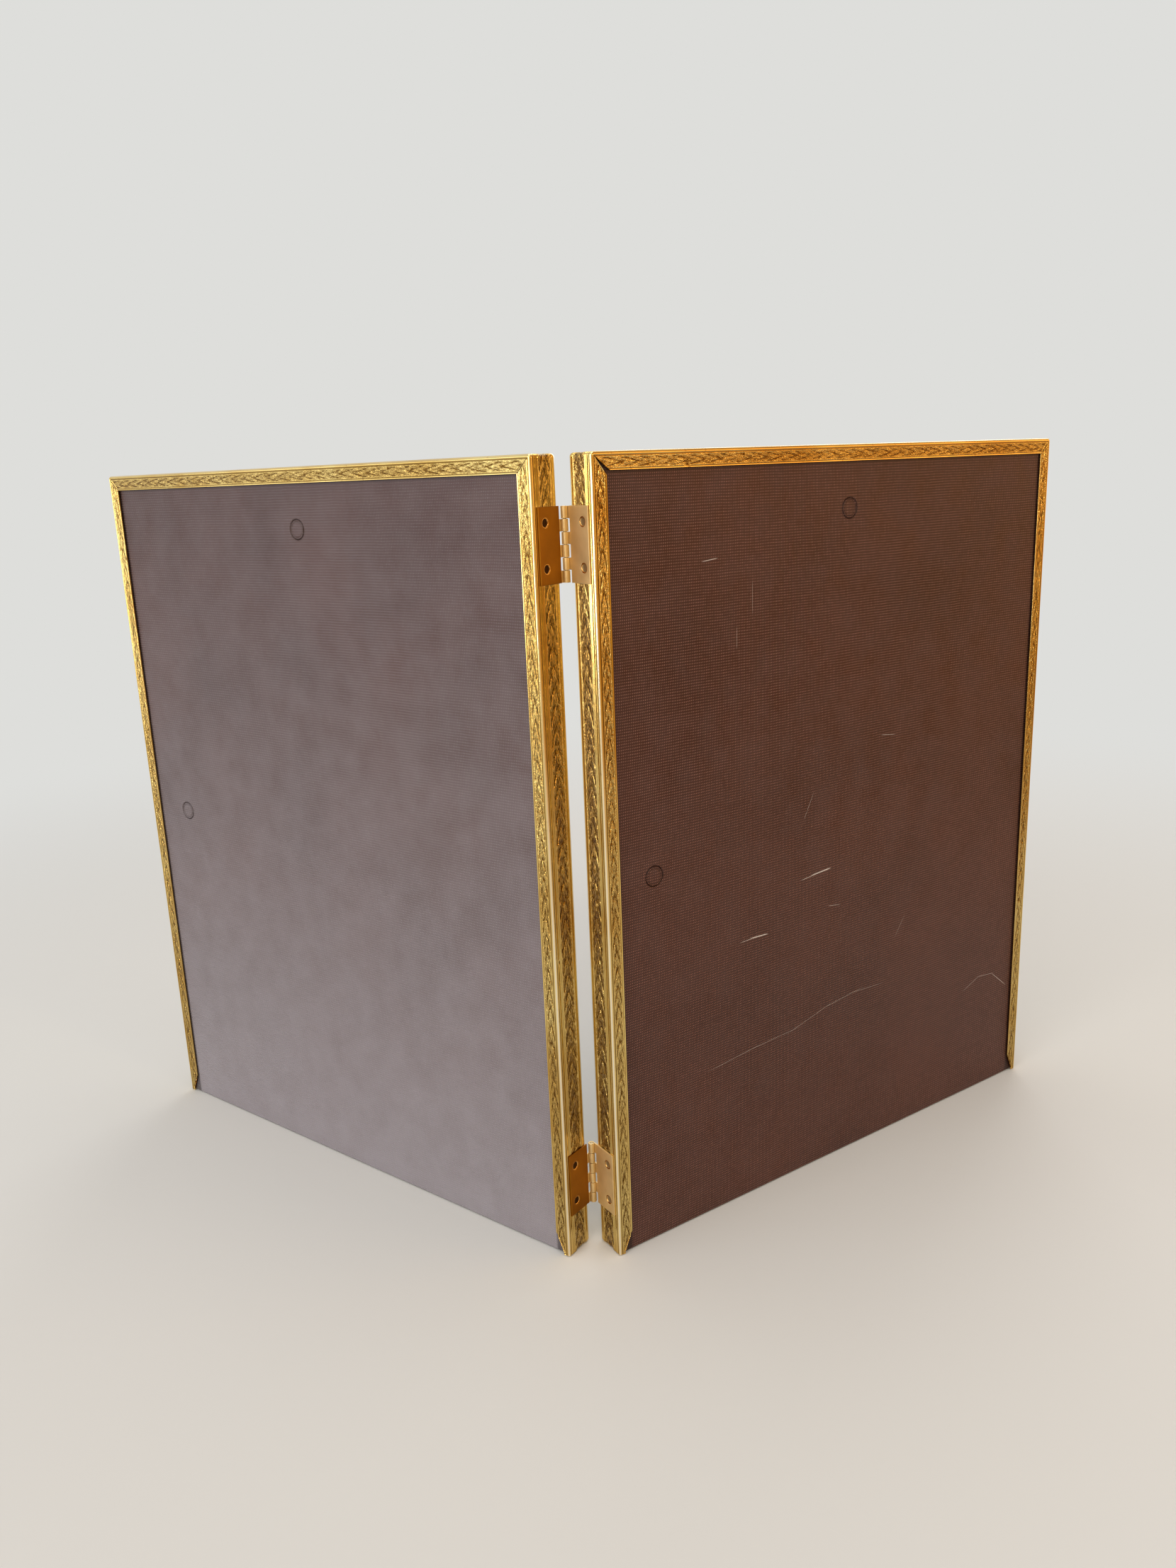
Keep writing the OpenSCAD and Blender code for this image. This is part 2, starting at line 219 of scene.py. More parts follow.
def soft_noise(a, b, seed):
    """Value noise from -1 to 1: random numbers on a lattice, blended by the smooth step of the place between them."""
    table = np.random.default_rng(seed).uniform(-1, 1, (256, 256))
    ia, ib = np.floor(a).astype(int), np.floor(b).astype(int)
    fa, fb = a - ia, b - ib
    fa, fb = fa * fa * (3 - 2 * fa), fb * fb * (3 - 2 * fb)
    at = lambda p, q: table[p % 256, q % 256]
    low = at(ia, ib) * (1 - fa) + at(ia + 1, ib) * fa
    high = at(ia, ib + 1) * (1 - fa) + at(ia + 1, ib + 1) * fa
    return low * (1 - fb) + high * fb


def bump(distance, width):
    """A soft ridge of height 1: the bell curve of distance over width."""
    return np.exp(-((distance / width) ** 2))


# ---- The pressed strip

PLAIN, FLANGE, WALL, FACE = 0, 1, 2, 3
BANDS = {FLANGE: (1.50, 4.62), WALL: (2.95, 8.58), FACE: (2.60, 5.15)}
LINES = {FLANGE: (1.10, 1.30, 4.80), WALL: (2.70, 8.84, 9.32, 9.80, 10.70, 10.90), FACE: (2.35, 5.40)}
BAND_STEP = {FLANGE: 0.155, WALL: 0.16, FACE: 0.27}
LINE_W = 0.14
# Strength of the painted highlight along the bead: weak on the top and bottom lengths, strong up the sides
LEAST_HIGHLIGHT, UPRIGHT_HIGHLIGHT = 0.25, 0.9
# Nicks from use: side, length of strip, place along it, zone, place in the zone, radius
NICKS = (
    (RIGHT, "top", 34.3, FLANGE, 4.2, 1.05), (RIGHT, "top", 35.6, FLANGE, 3.3, 0.60),
    (LEFT, "hinge_side", 104.6, WALL, 9.7, 0.45), (LEFT, "outer_side", 226.5, FLANGE, 4.6, 0.5),
    (RIGHT, "outer_side", 61.0, WALL, 5.2, 0.5), (LEFT, "top", 171.0, FLANGE, 3.1, 0.35),
)


def stations(zone, low, high, extra=()):
    """Places across a flat of the strip: close together on its band and at its lines, and at its ends."""
    b0, b1 = BANDS[zone]
    band = np.linspace(b0, b1, int(round((b1 - b0) / BAND_STEP[zone])) + 1)
    lines = [at + k for at in LINES[zone] for k in (-0.19, 0, 0.19)]
    marks = np.unique(np.round([low, high, *extra, *band, *lines], 4))
    marks = marks[(marks >= low) & (marks <= high)]
    keep = np.concatenate([[True], np.diff(marks) > 0.03])
    return marks[keep | np.isin(marks, extra)]


def section():
    """The strip's cross-section from the flange's inner edge round the wall to the lip, and back along the inside.

    Gives, for the outer and the inner line, points (x inwards, y from the picture side), directions, zone and place
    in the zone.
    """
    r, t = 0.1, STRIP_T
    flange_y, inner_y = PANEL_D, PANEL_D - t
    # Angles at which the front bend, outside and inside, reaches the corner's radius
    cut_o = 180 + np.degrees(np.arccos((FRONT_R - CORNER_R) / FRONT_R))
    cut_i = 180 + np.degrees(np.arccos((FRONT_R - CORNER_R) / (FRONT_R - t)))

    def flat(x, y, way, zone):
        """Points on a straight stretch, all facing the same way."""
        points = np.stack(np.broadcast_arrays(np.atleast_1d(x), y), -1).astype(float)
        return points, np.tile(np.array(way, float), (len(points), 1)), zone

    outer = [
        (*arc(FLANGE_W - r, inner_y + r, r, (-90, -45, 0)), PLAIN),
        (*arc(FLANGE_W - r, flange_y - r, r, (0, 35, 65)), PLAIN),
        flat(stations(FLANGE, BEAD_R, FLANGE_W - r, (CORNER_R, TIP_U))[::-1], flange_y, (0, 1), FLANGE),
        (*arc(BEAD_R, PANEL_D - BEAD_R, BEAD_R, (101, 113, 124, 135, 146, 157, 169)), PLAIN),
        flat(0.0, stations(WALL, FRONT_R, PANEL_D - BEAD_R, (BOTTOM_WALL_D,))[::-1], (-1, 0), WALL),
        (*arc(FRONT_R, FRONT_R, FRONT_R, (190, 201, 212, 223, 233, cut_o, 253, 262)), PLAIN),
        flat(stations(FACE, FRONT_R, FACE_W - LIP_R), 0.0, (0, -1), FACE),
        (*arc(FACE_W - LIP_R, LIP_R, LIP_R, (288, 306, 324, 342, 360)), PLAIN),
        (*arc(FACE_W - r, LIP_D - r, r, (0, 45, 90)), PLAIN),
        (*arc(FACE_W - t + r, LIP_D - r, r, (90, 130)), PLAIN),
    ]
    inner = [
        flat(FACE_W - t, (LIP_D - r, LIP_R), (1, 0), PLAIN),
        (*arc(FACE_W - LIP_R, LIP_R, LIP_R - t, (-30, -90)), PLAIN),
        flat(FRONT_R, t, (0, -1), PLAIN),
        (*arc(FRONT_R, FRONT_R, FRONT_R - t, (250, cut_i, 213, 197, 180)), PLAIN),
        flat(t, BOTTOM_WALL_D, (-1, 0), PLAIN),
        (*arc(BEAD_R, PANEL_D - BEAD_R, BEAD_R - t, (180, 135, 90)), PLAIN),
        flat((CORNER_R, TIP_U), inner_y, (0, 1), PLAIN),
    ]
    out = []
    for parts in (outer, inner):
        points = np.concatenate([p for p, d, z in parts])
        ways = np.concatenate([d for p, d, z in parts])
        zones = np.concatenate([np.full(len(p), z) for p, d, z in parts])
        out.append((points, ways, zones, np.where(zones == WALL, points[:, 1], points[:, 0])))
    return out


def leaf_height(along, across, half, pitch, seed):
    """Height of the pressed ornament from 0, the hollow, to 1, the ridge.

    Pointed leaves overlap like scales up the band. With d the distance from the middle over the half width, a leaf's
    outline drops from its tip by 1.9 (1 - root(1 - d)) pitches. Measured square to the outline, a fine ridge follows
    it, the leaf's body slopes down from the ridge like a decaying exponential, and a sharp hollow lies above the next
    outline. A fainter inner outline, a spear below each tip, two buds at the outline's feet and a waved border line
    are added. Noise wears the lines away here and there, and long flecks lie over all.
    """
    d = np.clip(np.abs(across) / half, 0, 0.985)
    t = along / pitch + 0.03 * soft_noise(along / 7.0, across / 5.0 + 40, seed)
    drop = 1.9 * (1 - np.sqrt(1 - d))
    steep = pitch / half * 0.95 / np.sqrt(1 - d)
    square = pitch / np.sqrt(1 + steep**2)
    w = (-(t + drop)) % 1
    below, above = w * square, (1 - w) * square
    ragged = 0.07 * soft_noise(along / 0.9, across / 0.4 + 11, seed + 3)
    worn = np.clip(0.78 + 0.75 * soft_noise(along / 1.7, across / 0.7 + 5, seed + 5), 0.25, 1)
    fade = lambda edge, width: np.clip((edge - d) / width, 0, 1)
    outline = worn * bump(below - 0.15 + ragged, 0.13) * fade(0.88, 0.08)
    inner = 0.85 * worn[::-1] * bump(below - 0.62 + ragged, 0.11) * fade(0.62, 0.12)
    tapered = np.clip(w * 6, 0, 1) * np.clip((0.85 - w) * 3, 0, 1)
    spear = 0.80 * worn * bump(across + 2 * ragged, 0.12 + 0.22 * w) * tapered
    bud = bump(np.hypot(((t + 0.985 + 0.5) % 1 - 0.5) * pitch * 0.6, np.abs(across) - 0.77 * half), 0.24)
    border = 0.80 * bump(np.abs(across) - half * (0.93 - 0.05 * np.cos(2 * np.pi * t)), 0.10)
    body = 0.20 + 0.30 * np.exp(-below / 0.6)
    ditch = 0.34 * worn * bump(above - 0.04, 0.22) * fade(0.95, 0.1)
    stipple = 0.27 * soft_noise(along / 1.10, across / 0.24, seed + 7)
    stipple = stipple + 0.12 * soft_noise(along / 0.42, across / 0.16, seed + 9)
    return np.clip(np.maximum.reduce([outline, inner, spear, bud, border, body]) - ditch + stipple, 0, 1)


def pressed(zone, at, along, rim, seed, nicks):
    """How far the strip's outer face lies below its plain surface, in mm, how hollow it is from 0 to 1, and whether
    it is in a band.

    rim is 0 at a cut end of the strip and 1 away from it: the ornament is flattened there by the cut.
    """
    sizes = settings("strip")
    pitch, relief, groove = sizes.leaf_pitch / MM, sizes.relief / MM, sizes.line_depth / MM
    drop, hollow, band = (np.zeros_like(along) for _ in range(3))
    for code, (b0, b1) in BANDS.items():
        inside = (zone == code) & (at >= b0 - 0.01) & (at <= b1 + 0.01)
        if inside.any():
            a, c, half = along[inside], (at[inside] - (b0 + b1) / 2), (b1 - b0) / 2
            height = leaf_height(a + 0.37 * pitch * code, c, half, pitch, seed + code)
            hollow[inside] = (1 - height) * np.clip((half - np.abs(c)) / 0.2, 0, 1) * rim[inside]
            band[inside] = 1
        for place_at in LINES[code]:
            cut = (zone == code) * bump(at - place_at, LINE_W)
            drop, hollow = np.maximum(drop, groove * cut), np.maximum(hollow, 0.9 * cut)
    drop = np.where(band > 0, relief * hollow, drop)
    for where, code, nick_at, radius in nicks:
        hit = (zone == code) * bump(np.hypot(along - where, at - nick_at), radius)
        drop, hollow = np.maximum(drop, 0.30 * hit), np.maximum(hollow, hit)
    drop = drop + 0.002 + (zone > 0) * 0.006 * (1 + soft_noise(along / 14.0, at / 4.0 + zone * 17, seed + 31))
    return drop, hollow, band


def sweep(shell, run, loop_out, loop_in, rows, seed, nicks=(), highlight=LEAST_HIGHLIGHT):
    """Adds one closed length of strip.

    rows(points) gives the place along the run for every row and point, and run turns (x, y, along) into a point in
    metres. The last argument gives how strong the painted highlight along the bead is.
    """
    (po, wo, zo, ao), (pi, wi, zi, ai) = loop_out, loop_in
    points, ways = np.concatenate([po, pi]), np.concatenate([wo, wi])
    zones, places = np.concatenate([zo, zi]), np.concatenate([ao, ai])
    along = rows(points)
    n, m = along.shape
    zone, at = np.broadcast_to(zones, (n, m)), np.broadcast_to(places, (n, m))
    rim = np.where(zone == WALL, 1, np.clip(np.minimum(along - along[0], along[-1] - along) / 0.5, 0, 1))
    drop, hollow, band = pressed(zone, at, along, rim, seed, nicks)
    x = points[:, 0] - ways[:, 0] * drop
    y = points[:, 1] - ways[:, 1] * drop
    across = np.concatenate([[0], np.cumsum(np.linalg.norm(np.diff(points, axis=0), axis=1))])
    # Painted highlight along the bead: a bell curve of the angle round its centre, weaker towards the panel's top
    bx, by = points[:, 0] - BEAD_R, points[:, 1] - (PANEL_D - BEAD_R)
    on_bead = (np.hypot(bx, by) > BEAD_R - 0.05) * (bx < 0.01) * (by > -0.01)
    rubbed = on_bead * bump(np.degrees(np.arctan2(by, bx)) - 133, 17)
    rubbed = rubbed * (LEAST_HIGHLIGHT + (highlight - LEAST_HIGHLIGHT) * np.clip((PANEL_H - 3 - along) / 6, 0, 1))
    shell.add(
        run(x, y, along).reshape(-1, 3), tube_faces(n, m), hollow=hollow.ravel(), band=band.ravel(),
        rubbed=rubbed.ravel(), along=along.ravel() * MM, across=np.broadcast_to(across * MM, (n, m)).ravel(),
    )


def pick(line_data, keep):
    """Those points of a line of the section for which keep is true."""
    return tuple(a[keep] for a in line_data)


def fan_rows(start, end, step, margin=10.0):
    """Rows from start to end, which differ from point to point: spread evenly near the ends and level between them."""
    def rows(points):
        s, e = start(points), end(points)
        low = np.linspace(0, 1, int(margin / step) + 1)[:, None]
        bottom = s + (margin - s) * low
        top = (e.max() - margin) + (e - (e.max() - margin)) * low
        middle = np.arange(margin, e.max() - margin, step)[1:-1, None] + np.zeros(len(s))
        return np.concatenate([bottom, middle, top])
    return rows


def mitre(points, seam, wedge=0.0):
    """Distance from the corner at which a point's run begins: its own distance inwards, half a seam, and any gaping."""
    x = points[:, 0]
    over = np.clip(x - CORNER_R, 0, None)
    flange = (points[:, 1] > PANEL_D - 1) * wedge * over / (FLANGE_W - CORNER_R)
    return np.maximum(x, CORNER_R) + seam * (over > 0.05) + flange


def nicks_on(side, where):
    return [n[2:] for n in NICKS if n[:2] == (side, where)]


def make_strip(side, name, material):
    """The four lengths of one panel's strip, each a piece of its own."""
    sizes = settings("strip")
    step, wedge = sizes.row_step / MM, sizes.wedge / MM / 2
    outer, inner = section()
    gape = wedge if side == RIGHT else 0.0
    seam = 0.12
    pieces = []

    # The two upright lengths, with the flange's slanted end and the wall's foot behind the bottom wall
    for where, u_of in (("hinge_side", lambda x: x), ("outer_side", lambda x: PANEL_W - x)):
        shell = Shell()
        run = lambda x, y, z, u_of=u_of: place(side, u_of(x), y, z)

        def foot(points):
            """The lower end: on the flange a straight slant from TIP_U to FLANGE_END_H, elsewhere a mitre."""
            slant = (FLANGE_END_H - CORNER_R) / (FLANGE_W - TIP_U)
            slanted = CORNER_R + np.clip(points[:, 0] - TIP_U, 0, None) * slant
            return np.where(points[:, 1] > PANEL_D - 1, slanted, mitre(points, seam))

        top_gape = gape if where == "hinge_side" else 0.0
        top = lambda points, g=top_gape: PANEL_H - mitre(points, seam, g)
        sweep(shell, run, outer, inner, fan_rows(foot, top, step), 11, nicks_on(side, where), UPRIGHT_HIGHLIGHT)
        low_o = (outer[0][:, 1] >= BOTTOM_WALL_D - 0.001) & (outer[0][:, 0] <= TIP_U + 0.001)
        low_i = (inner[0][:, 1] >= BOTTOM_WALL_D - 0.001) & (inner[0][:, 0] <= TIP_U + 0.001)
        short = lambda points: np.linspace(FOOT_GAP, CORNER_R + 0.02, 6)[:, None] + np.zeros(len(points))
        sweep(shell, run, pick(outer, low_o), pick(inner, low_i), short, 11, (), UPRIGHT_HIGHLIGHT)
        pieces.append(shell.build(f"{name}_strip_{where}", material))

    # The top and bottom lengths, each with its two bent corners
    bottom_o, bottom_i = outer[0][:, 1] <= BOTTOM_WALL_D + 0.001, inner[0][:, 1] <= BOTTOM_WALL_D + 0.001
    for where, z_of, keep_o, keep_i in (
        ("top", lambda x: PANEL_H - x, np.ones(len(outer[0]), bool), np.ones(len(inner[0]), bool)),
        ("bottom", lambda x: x, bottom_o, bottom_i),
    ):
        shell = Shell()
        o, i = pick(outer, keep_o), pick(inner, keep_i)
        run = lambda x, y, u, z_of=z_of: place(side, u, y, z_of(x))
        near = lambda points, g=(gape if where == "top" else 0.0): mitre(points, seam, g)
        far = lambda points: PANEL_W - mitre(points, seam)
        sweep(shell, run, o, i, fan_rows(near, far, step), 23, nicks_on(side, where))
        bend_o, bend_i = o[0][:, 0] <= CORNER_R + 0.001, i[0][:, 0] <= CORNER_R + 0.001
        for u_of in (lambda u: u, lambda u: PANEL_W - u):
            turn = np.radians([-1, 7, 15, 22, 29, 35, 40, 43, 45, 47, 50, 55, 61, 68, 75, 83, 91])[:, None]

            def bent(x, y, along, u_of=u_of, z_of=z_of, turn=turn):
                """Round the corner: a quarter circle about (CORNER_R, CORNER_R) for every point."""
                ring = np.maximum(CORNER_R - x, 0.015)
                return place(side, u_of(CORNER_R - ring * np.cos(turn)), y, z_of(CORNER_R - ring * np.sin(turn)))

            arc_rows = lambda points, turn=turn: 1.6 * turn + np.zeros(len(points))
            sweep(shell, bent, pick(o, bend_o), pick(i, bend_i), arc_rows, 37)
        pieces.append(shell.build(f"{name}_strip_{where}", material))
    return pieces


# ---- Backing board

RING_R, INNER_RING_R = 3.30, 2.55


def ring_drop(distance):
    """Depth of a knock-out ring: a cut at its radius, a fainter one inside it, and rims lifted between and outside."""
    cuts = ((0.34, RING_R, 0.17), (0.15, INNER_RING_R, 0.14), (-0.10, 2.95, 0.14), (-0.06, 3.75, 0.22))
    return sum(depth * bump(distance - radius, width) for depth, radius, width in cuts)


def close_lines(low, high, step, centres, shaded, reach=4.6, fine=0.16):
    """Places along one side of the board: wide apart, but close at the rings and at its own and the flange's edges."""
    marks = list(np.linspace(low, high, int((high - low) / step) + 1))
    marks += [m + k for m in shaded for k in (-1.2, -0.8, -0.4, 0, 0.4, 0.8, 1.2)]
    for c in centres:
        marks = [m for m in marks if abs(m - c) > reach] + list(np.arange(c - reach, c + reach, fine))
    marks += [low + k for k in (0.08, 0.2, 0.4)] + [high - k for k in (0.08, 0.2, 0.4)]
    marks = np.unique(np.round(marks, 3))
    return marks[np.concatenate([[True], np.diff(marks) > 0.04])]


def make_board(side, name, rings, material):
    """A slab whose back is BOARD_V + BOARD_T less the rings' depth, in soft waves, its edges quarter circles."""
    u0, u1 = STRIP_T + BOARD_CLEAR, PANEL_W - STRIP_T - BOARD_CLEAR
    z0, z1 = FOOT_GAP, PANEL_H - STRIP_T - BOARD_CLEAR
    us = close_lines(u0, u1, 5.0, [r[0] for r in rings], (FLANGE_W, PANEL_W - FLANGE_W))
    zs = close_lines(z0, z1, 5.0, [r[1] for r in rings], (PANEL_H - FLANGE_W,))
    z, u = np.meshgrid(zs, us, indexing="ij")
    bow = settings("board").bow / MM
    back = BOARD_V + BOARD_T - 0.06 + bow * (soft_noise(u / 47, z / 61, 3 + side) - 1)
    # A painted shadow on the board under and within 0.9 mm of the flange's inner edge
    under_flange = np.minimum(np.minimum(u, PANEL_W - u), PANEL_H - z) - FLANGE_W
    cut = 0.9 * np.clip(1.0 - under_flange / 0.9, 0, 1)
    for ru, rz in rings:
        d = np.hypot(u - ru, z - rz)
        back = back - ring_drop(d)
        # Painted shade in the ring's cuts
        cut = np.maximum(cut, np.maximum(bump(d - RING_R, 0.24), 0.45 * bump(d - INNER_RING_R, 0.18)))
    edge = np.minimum(np.minimum(u - u0, u1 - u), np.minimum(z - z0, z1 - z))
    r = 0.4
    inset = np.clip(r - edge, 0, r)
    round_off = r - np.sqrt(r * r - inset * inset)
    back, front = back - round_off, BOARD_V + round_off
    shell = Shell()
    points = np.concatenate([place(side, u, v, z).reshape(-1, 3) for v in (back, front)])
    shell.add(points, slab_faces(*u.shape), cut=np.concatenate([cut.ravel(), 0 * cut.ravel()]))
    return shell.build(f"{name}_linen_board", material, 50)


# ---- Hinges


def ribbon(shell, side, middle, half, zs, soft=0.07):
    """A sheet round a line in plan: both faces lie half a thickness off it, and a quarter circle rounds each end."""
    step = np.gradient(middle, axis=0)
    way = np.stack([step[:, 1], -step[:, 0]], -1)
    way /= np.linalg.norm(way, axis=1)[:, None]
    lows = np.array([0, 0.35, 0.7, 1.0]) * soft
    z = np.concatenate([zs[0] + lows, zs[1] - lows[::-1]])
    deep = soft - np.sqrt(np.clip(soft**2 - (soft - np.concatenate([lows, lows[::-1]])) ** 2, 0, None))
    both_ways = np.concatenate([way, -way[::-1]])
    loop = np.concatenate([middle, middle[::-1]])
    loops = loop + (half - deep)[:, None, None] * both_ways
    points = place(side, loops[..., 0], loops[..., 1], z[:, None]).reshape(-1, 3)
    rows, columns = len(z), len(loop)
    quads = tube_faces(rows, columns)[0]
    c = np.arange(len(middle) - 1)
    cap = np.stack([c, c + 1, columns - 2 - c, columns - 1 - c], -1)
    shell.add(points, [quads, cap[:, ::-1], cap + (rows - 1) * columns], hollow=0, plate=0)


def rolled_line():
    """The middle of a knuckle's sheet in plan: straight along the leaf, then round the pin and back to it."""
    ring = BARREL_R - LEAF_T / 2
    straight = np.stack([np.full(5, -LEAF_T / 2), np.linspace(NOTCH_W - AXIS_FRONT + 0.6, -AXIS_FRONT + 0.12, 5)], -1)
    t = np.radians(np.linspace(0, -301, 44))
    round_pin = np.stack([-BARREL_R + ring * np.cos(t), -AXIS_FRONT + ring * np.sin(t)], -1)
    return np.concatenate([straight, round_pin])


def leaf_plate(shell, side, z0):
    """A flat leaf: its face sinks round each rivet as half a cosine of the distance; its rim is a quarter circle."""
    v0, v1 = NOTCH_W - AXIS_FRONT, LEAF_W - AXIS_FRONT
    r = 0.12
    near = np.array([0, 0.03, 0.07, 0.12, 0.3])
    v, z = np.meshgrid(*(
        np.unique(np.round(np.concatenate([low + near, high - near, np.arange(low + 0.5, high - 0.3, step)]), 4))
        for low, high, step in ((v0, v1, 0.17), (0, HINGE_H, 0.19))
    ), indexing="ij")
    edge = np.minimum(np.minimum(v - v0, v1 - v), np.minimum(z, HINGE_H - z))
    inset = np.clip(r - edge, 0, r)
    top = -LEAF_T + r - np.sqrt(r * r - inset * inset)
    rivet_shade = 0 * v
    for rz in (RIVET_INSET, HINGE_H - RIVET_INSET):
        d = np.hypot(v - RIVET_V, z - rz)
        dimple = 0.5 + 0.5 * np.cos(np.pi * np.clip(d / 2.6, 0, 1))
        top = top + 0.23 * dimple + 0.20 * np.clip((1.32 - d) / 0.2, 0, 1)
        # Painted shade in and round each rivet hole: full on the left leaves, lighter on the right
        rivet_shade = np.maximum(rivet_shade, (1.0 if side == LEFT else 0.60) * np.clip((1.30 - d) / 0.15, 0, 1))
    top = np.minimum(top, -0.03)
    points = np.concatenate([place(side, u, v, z + z0).reshape(-1, 3) for u in (top, np.full(v.shape, -0.005))])
    hollow = np.concatenate([rivet_shade.ravel(), 0 * rivet_shade.ravel()])
    shell.add(points, slab_faces(*v.shape), hollow=hollow, plate=1)


def make_leaf(side, name, z0, first, material):
    """One hinge leaf: its plate, and every second knuckle of the hinge's six, rolled from the same sheet."""
    shell = Shell()
    leaf_plate(shell, side, z0)
    pitch = HINGE_H / KNUCKLES
    for k in range(first, KNUCKLES, 2):
        low = z0 + k * pitch + KNUCKLE_GAP / 2
        ribbon(shell, side, rolled_line(), LEAF_T / 2 - 0.004, (low, low + pitch - KNUCKLE_GAP))
    return shell.build(name, material, 40)


def lathe(shell, side, v, z, profile, count=40):
    """A turned form about a line across the wall: the profile (radius, height off the wall) carried round a circle."""
    t = np.linspace(0, 2 * np.pi, count, endpoint=False)
    radius, height = np.array(profile, float).T
    vv = v + radius[:, None] * np.cos(t)
    zz = z + radius[:, None] * np.sin(t)
    points = place(side, -height[:, None] + 0 * vv, vv, zz).reshape(-1, 3)
    rows = len(radius)
    # Painted shade inside the rivet's hollow: deep on the left panel, faint on the right
    painted_shade = 0.9 if side == LEFT else 0.15
    hollow = np.where(np.arange(rows) > rows // 2, painted_shade * np.clip((0.30 - height) / 0.5, 0, 1), 0)
    shell.add(points, tube_faces(rows, count), hollow=np.repeat(hollow, count))


# Rivet from its clinched end in the wall, up the outside, over the rolled rim and down into the hollow
RIVET = [
    (1.38, -0.88), (1.38, -0.52), (1.00, -0.50), (1.00, 0.02), (1.22, 0.06), (1.42, 0.12), (1.55, 0.19), (1.62, 0.26),
    (1.61, 0.32), (1.54, 0.36), (1.44, 0.37), (1.34, 0.35), (1.24, 0.29), (1.16, 0.19), (1.10, 0.07), (1.07, 0.00),
    (1.02, -0.14), (0.98, -0.22), (0.86, -0.28), (0.40, -0.30), (0.05, -0.30),
]


def make_rivets(side, name, material):
    """One panel's four rivets, two to a leaf: RIVET turned about the line across the wall at each."""
    shell = Shell()
    for z0 in (HINGE_INSET, PANEL_H - HINGE_INSET - HINGE_H):
        for up in (RIVET_INSET, HINGE_H - RIVET_INSET):
            lathe(shell, side, RIVET_V, z0 + up, RIVET)
    return shell.build(f"{name}_tubular_rivets", material, 50)


# ---- Materials

# A noise of scale s has grains about 1/s metres wide. The real brush lines, pits and fibres are finer than these: they
# are drawn as coarse as they need to be to show.
WHITE = (1.0, 1.0, 1.0, 1.0)


def add(tree, kind, inputs=None, stops=(), **properties):
    """Adds a node with its properties, its input values and links, and the stops of a colour ramp.

    A node or an output given for an input is linked to it, a node by its first output. In the editor the nodes stand
    in rows of ten, in the order in which they are made.
    """
    count = len(tree.nodes)
    node = tree.nodes.new(kind)
    node.location = (220 * (count % 10), -300 * (count // 10))
    for key, value in properties.items():
        setattr(node, key, value)
    for key, term in (inputs or {}).items():
        if isinstance(term, bpy.types.Node):
            term = term.outputs[0]
        if isinstance(term, bpy.types.NodeSocket):
            tree.links.new(term, node.inputs[key])
        else:
            node.inputs[key].default_value = term
    if stops:
        elements = node.color_ramp.elements
        while len(elements) < len(stops):
            elements.new(0.5)
        for element, (position, tint) in zip(elements, stops):
            element.position, element.color = position, tint
    return node


def new_material(name):
    """A material with an empty node tree."""
    mat = bpy.data.materials.new(name)
    mat.use_nodes = True
    mat.node_tree.nodes.clear()
    return mat, mat.node_tree


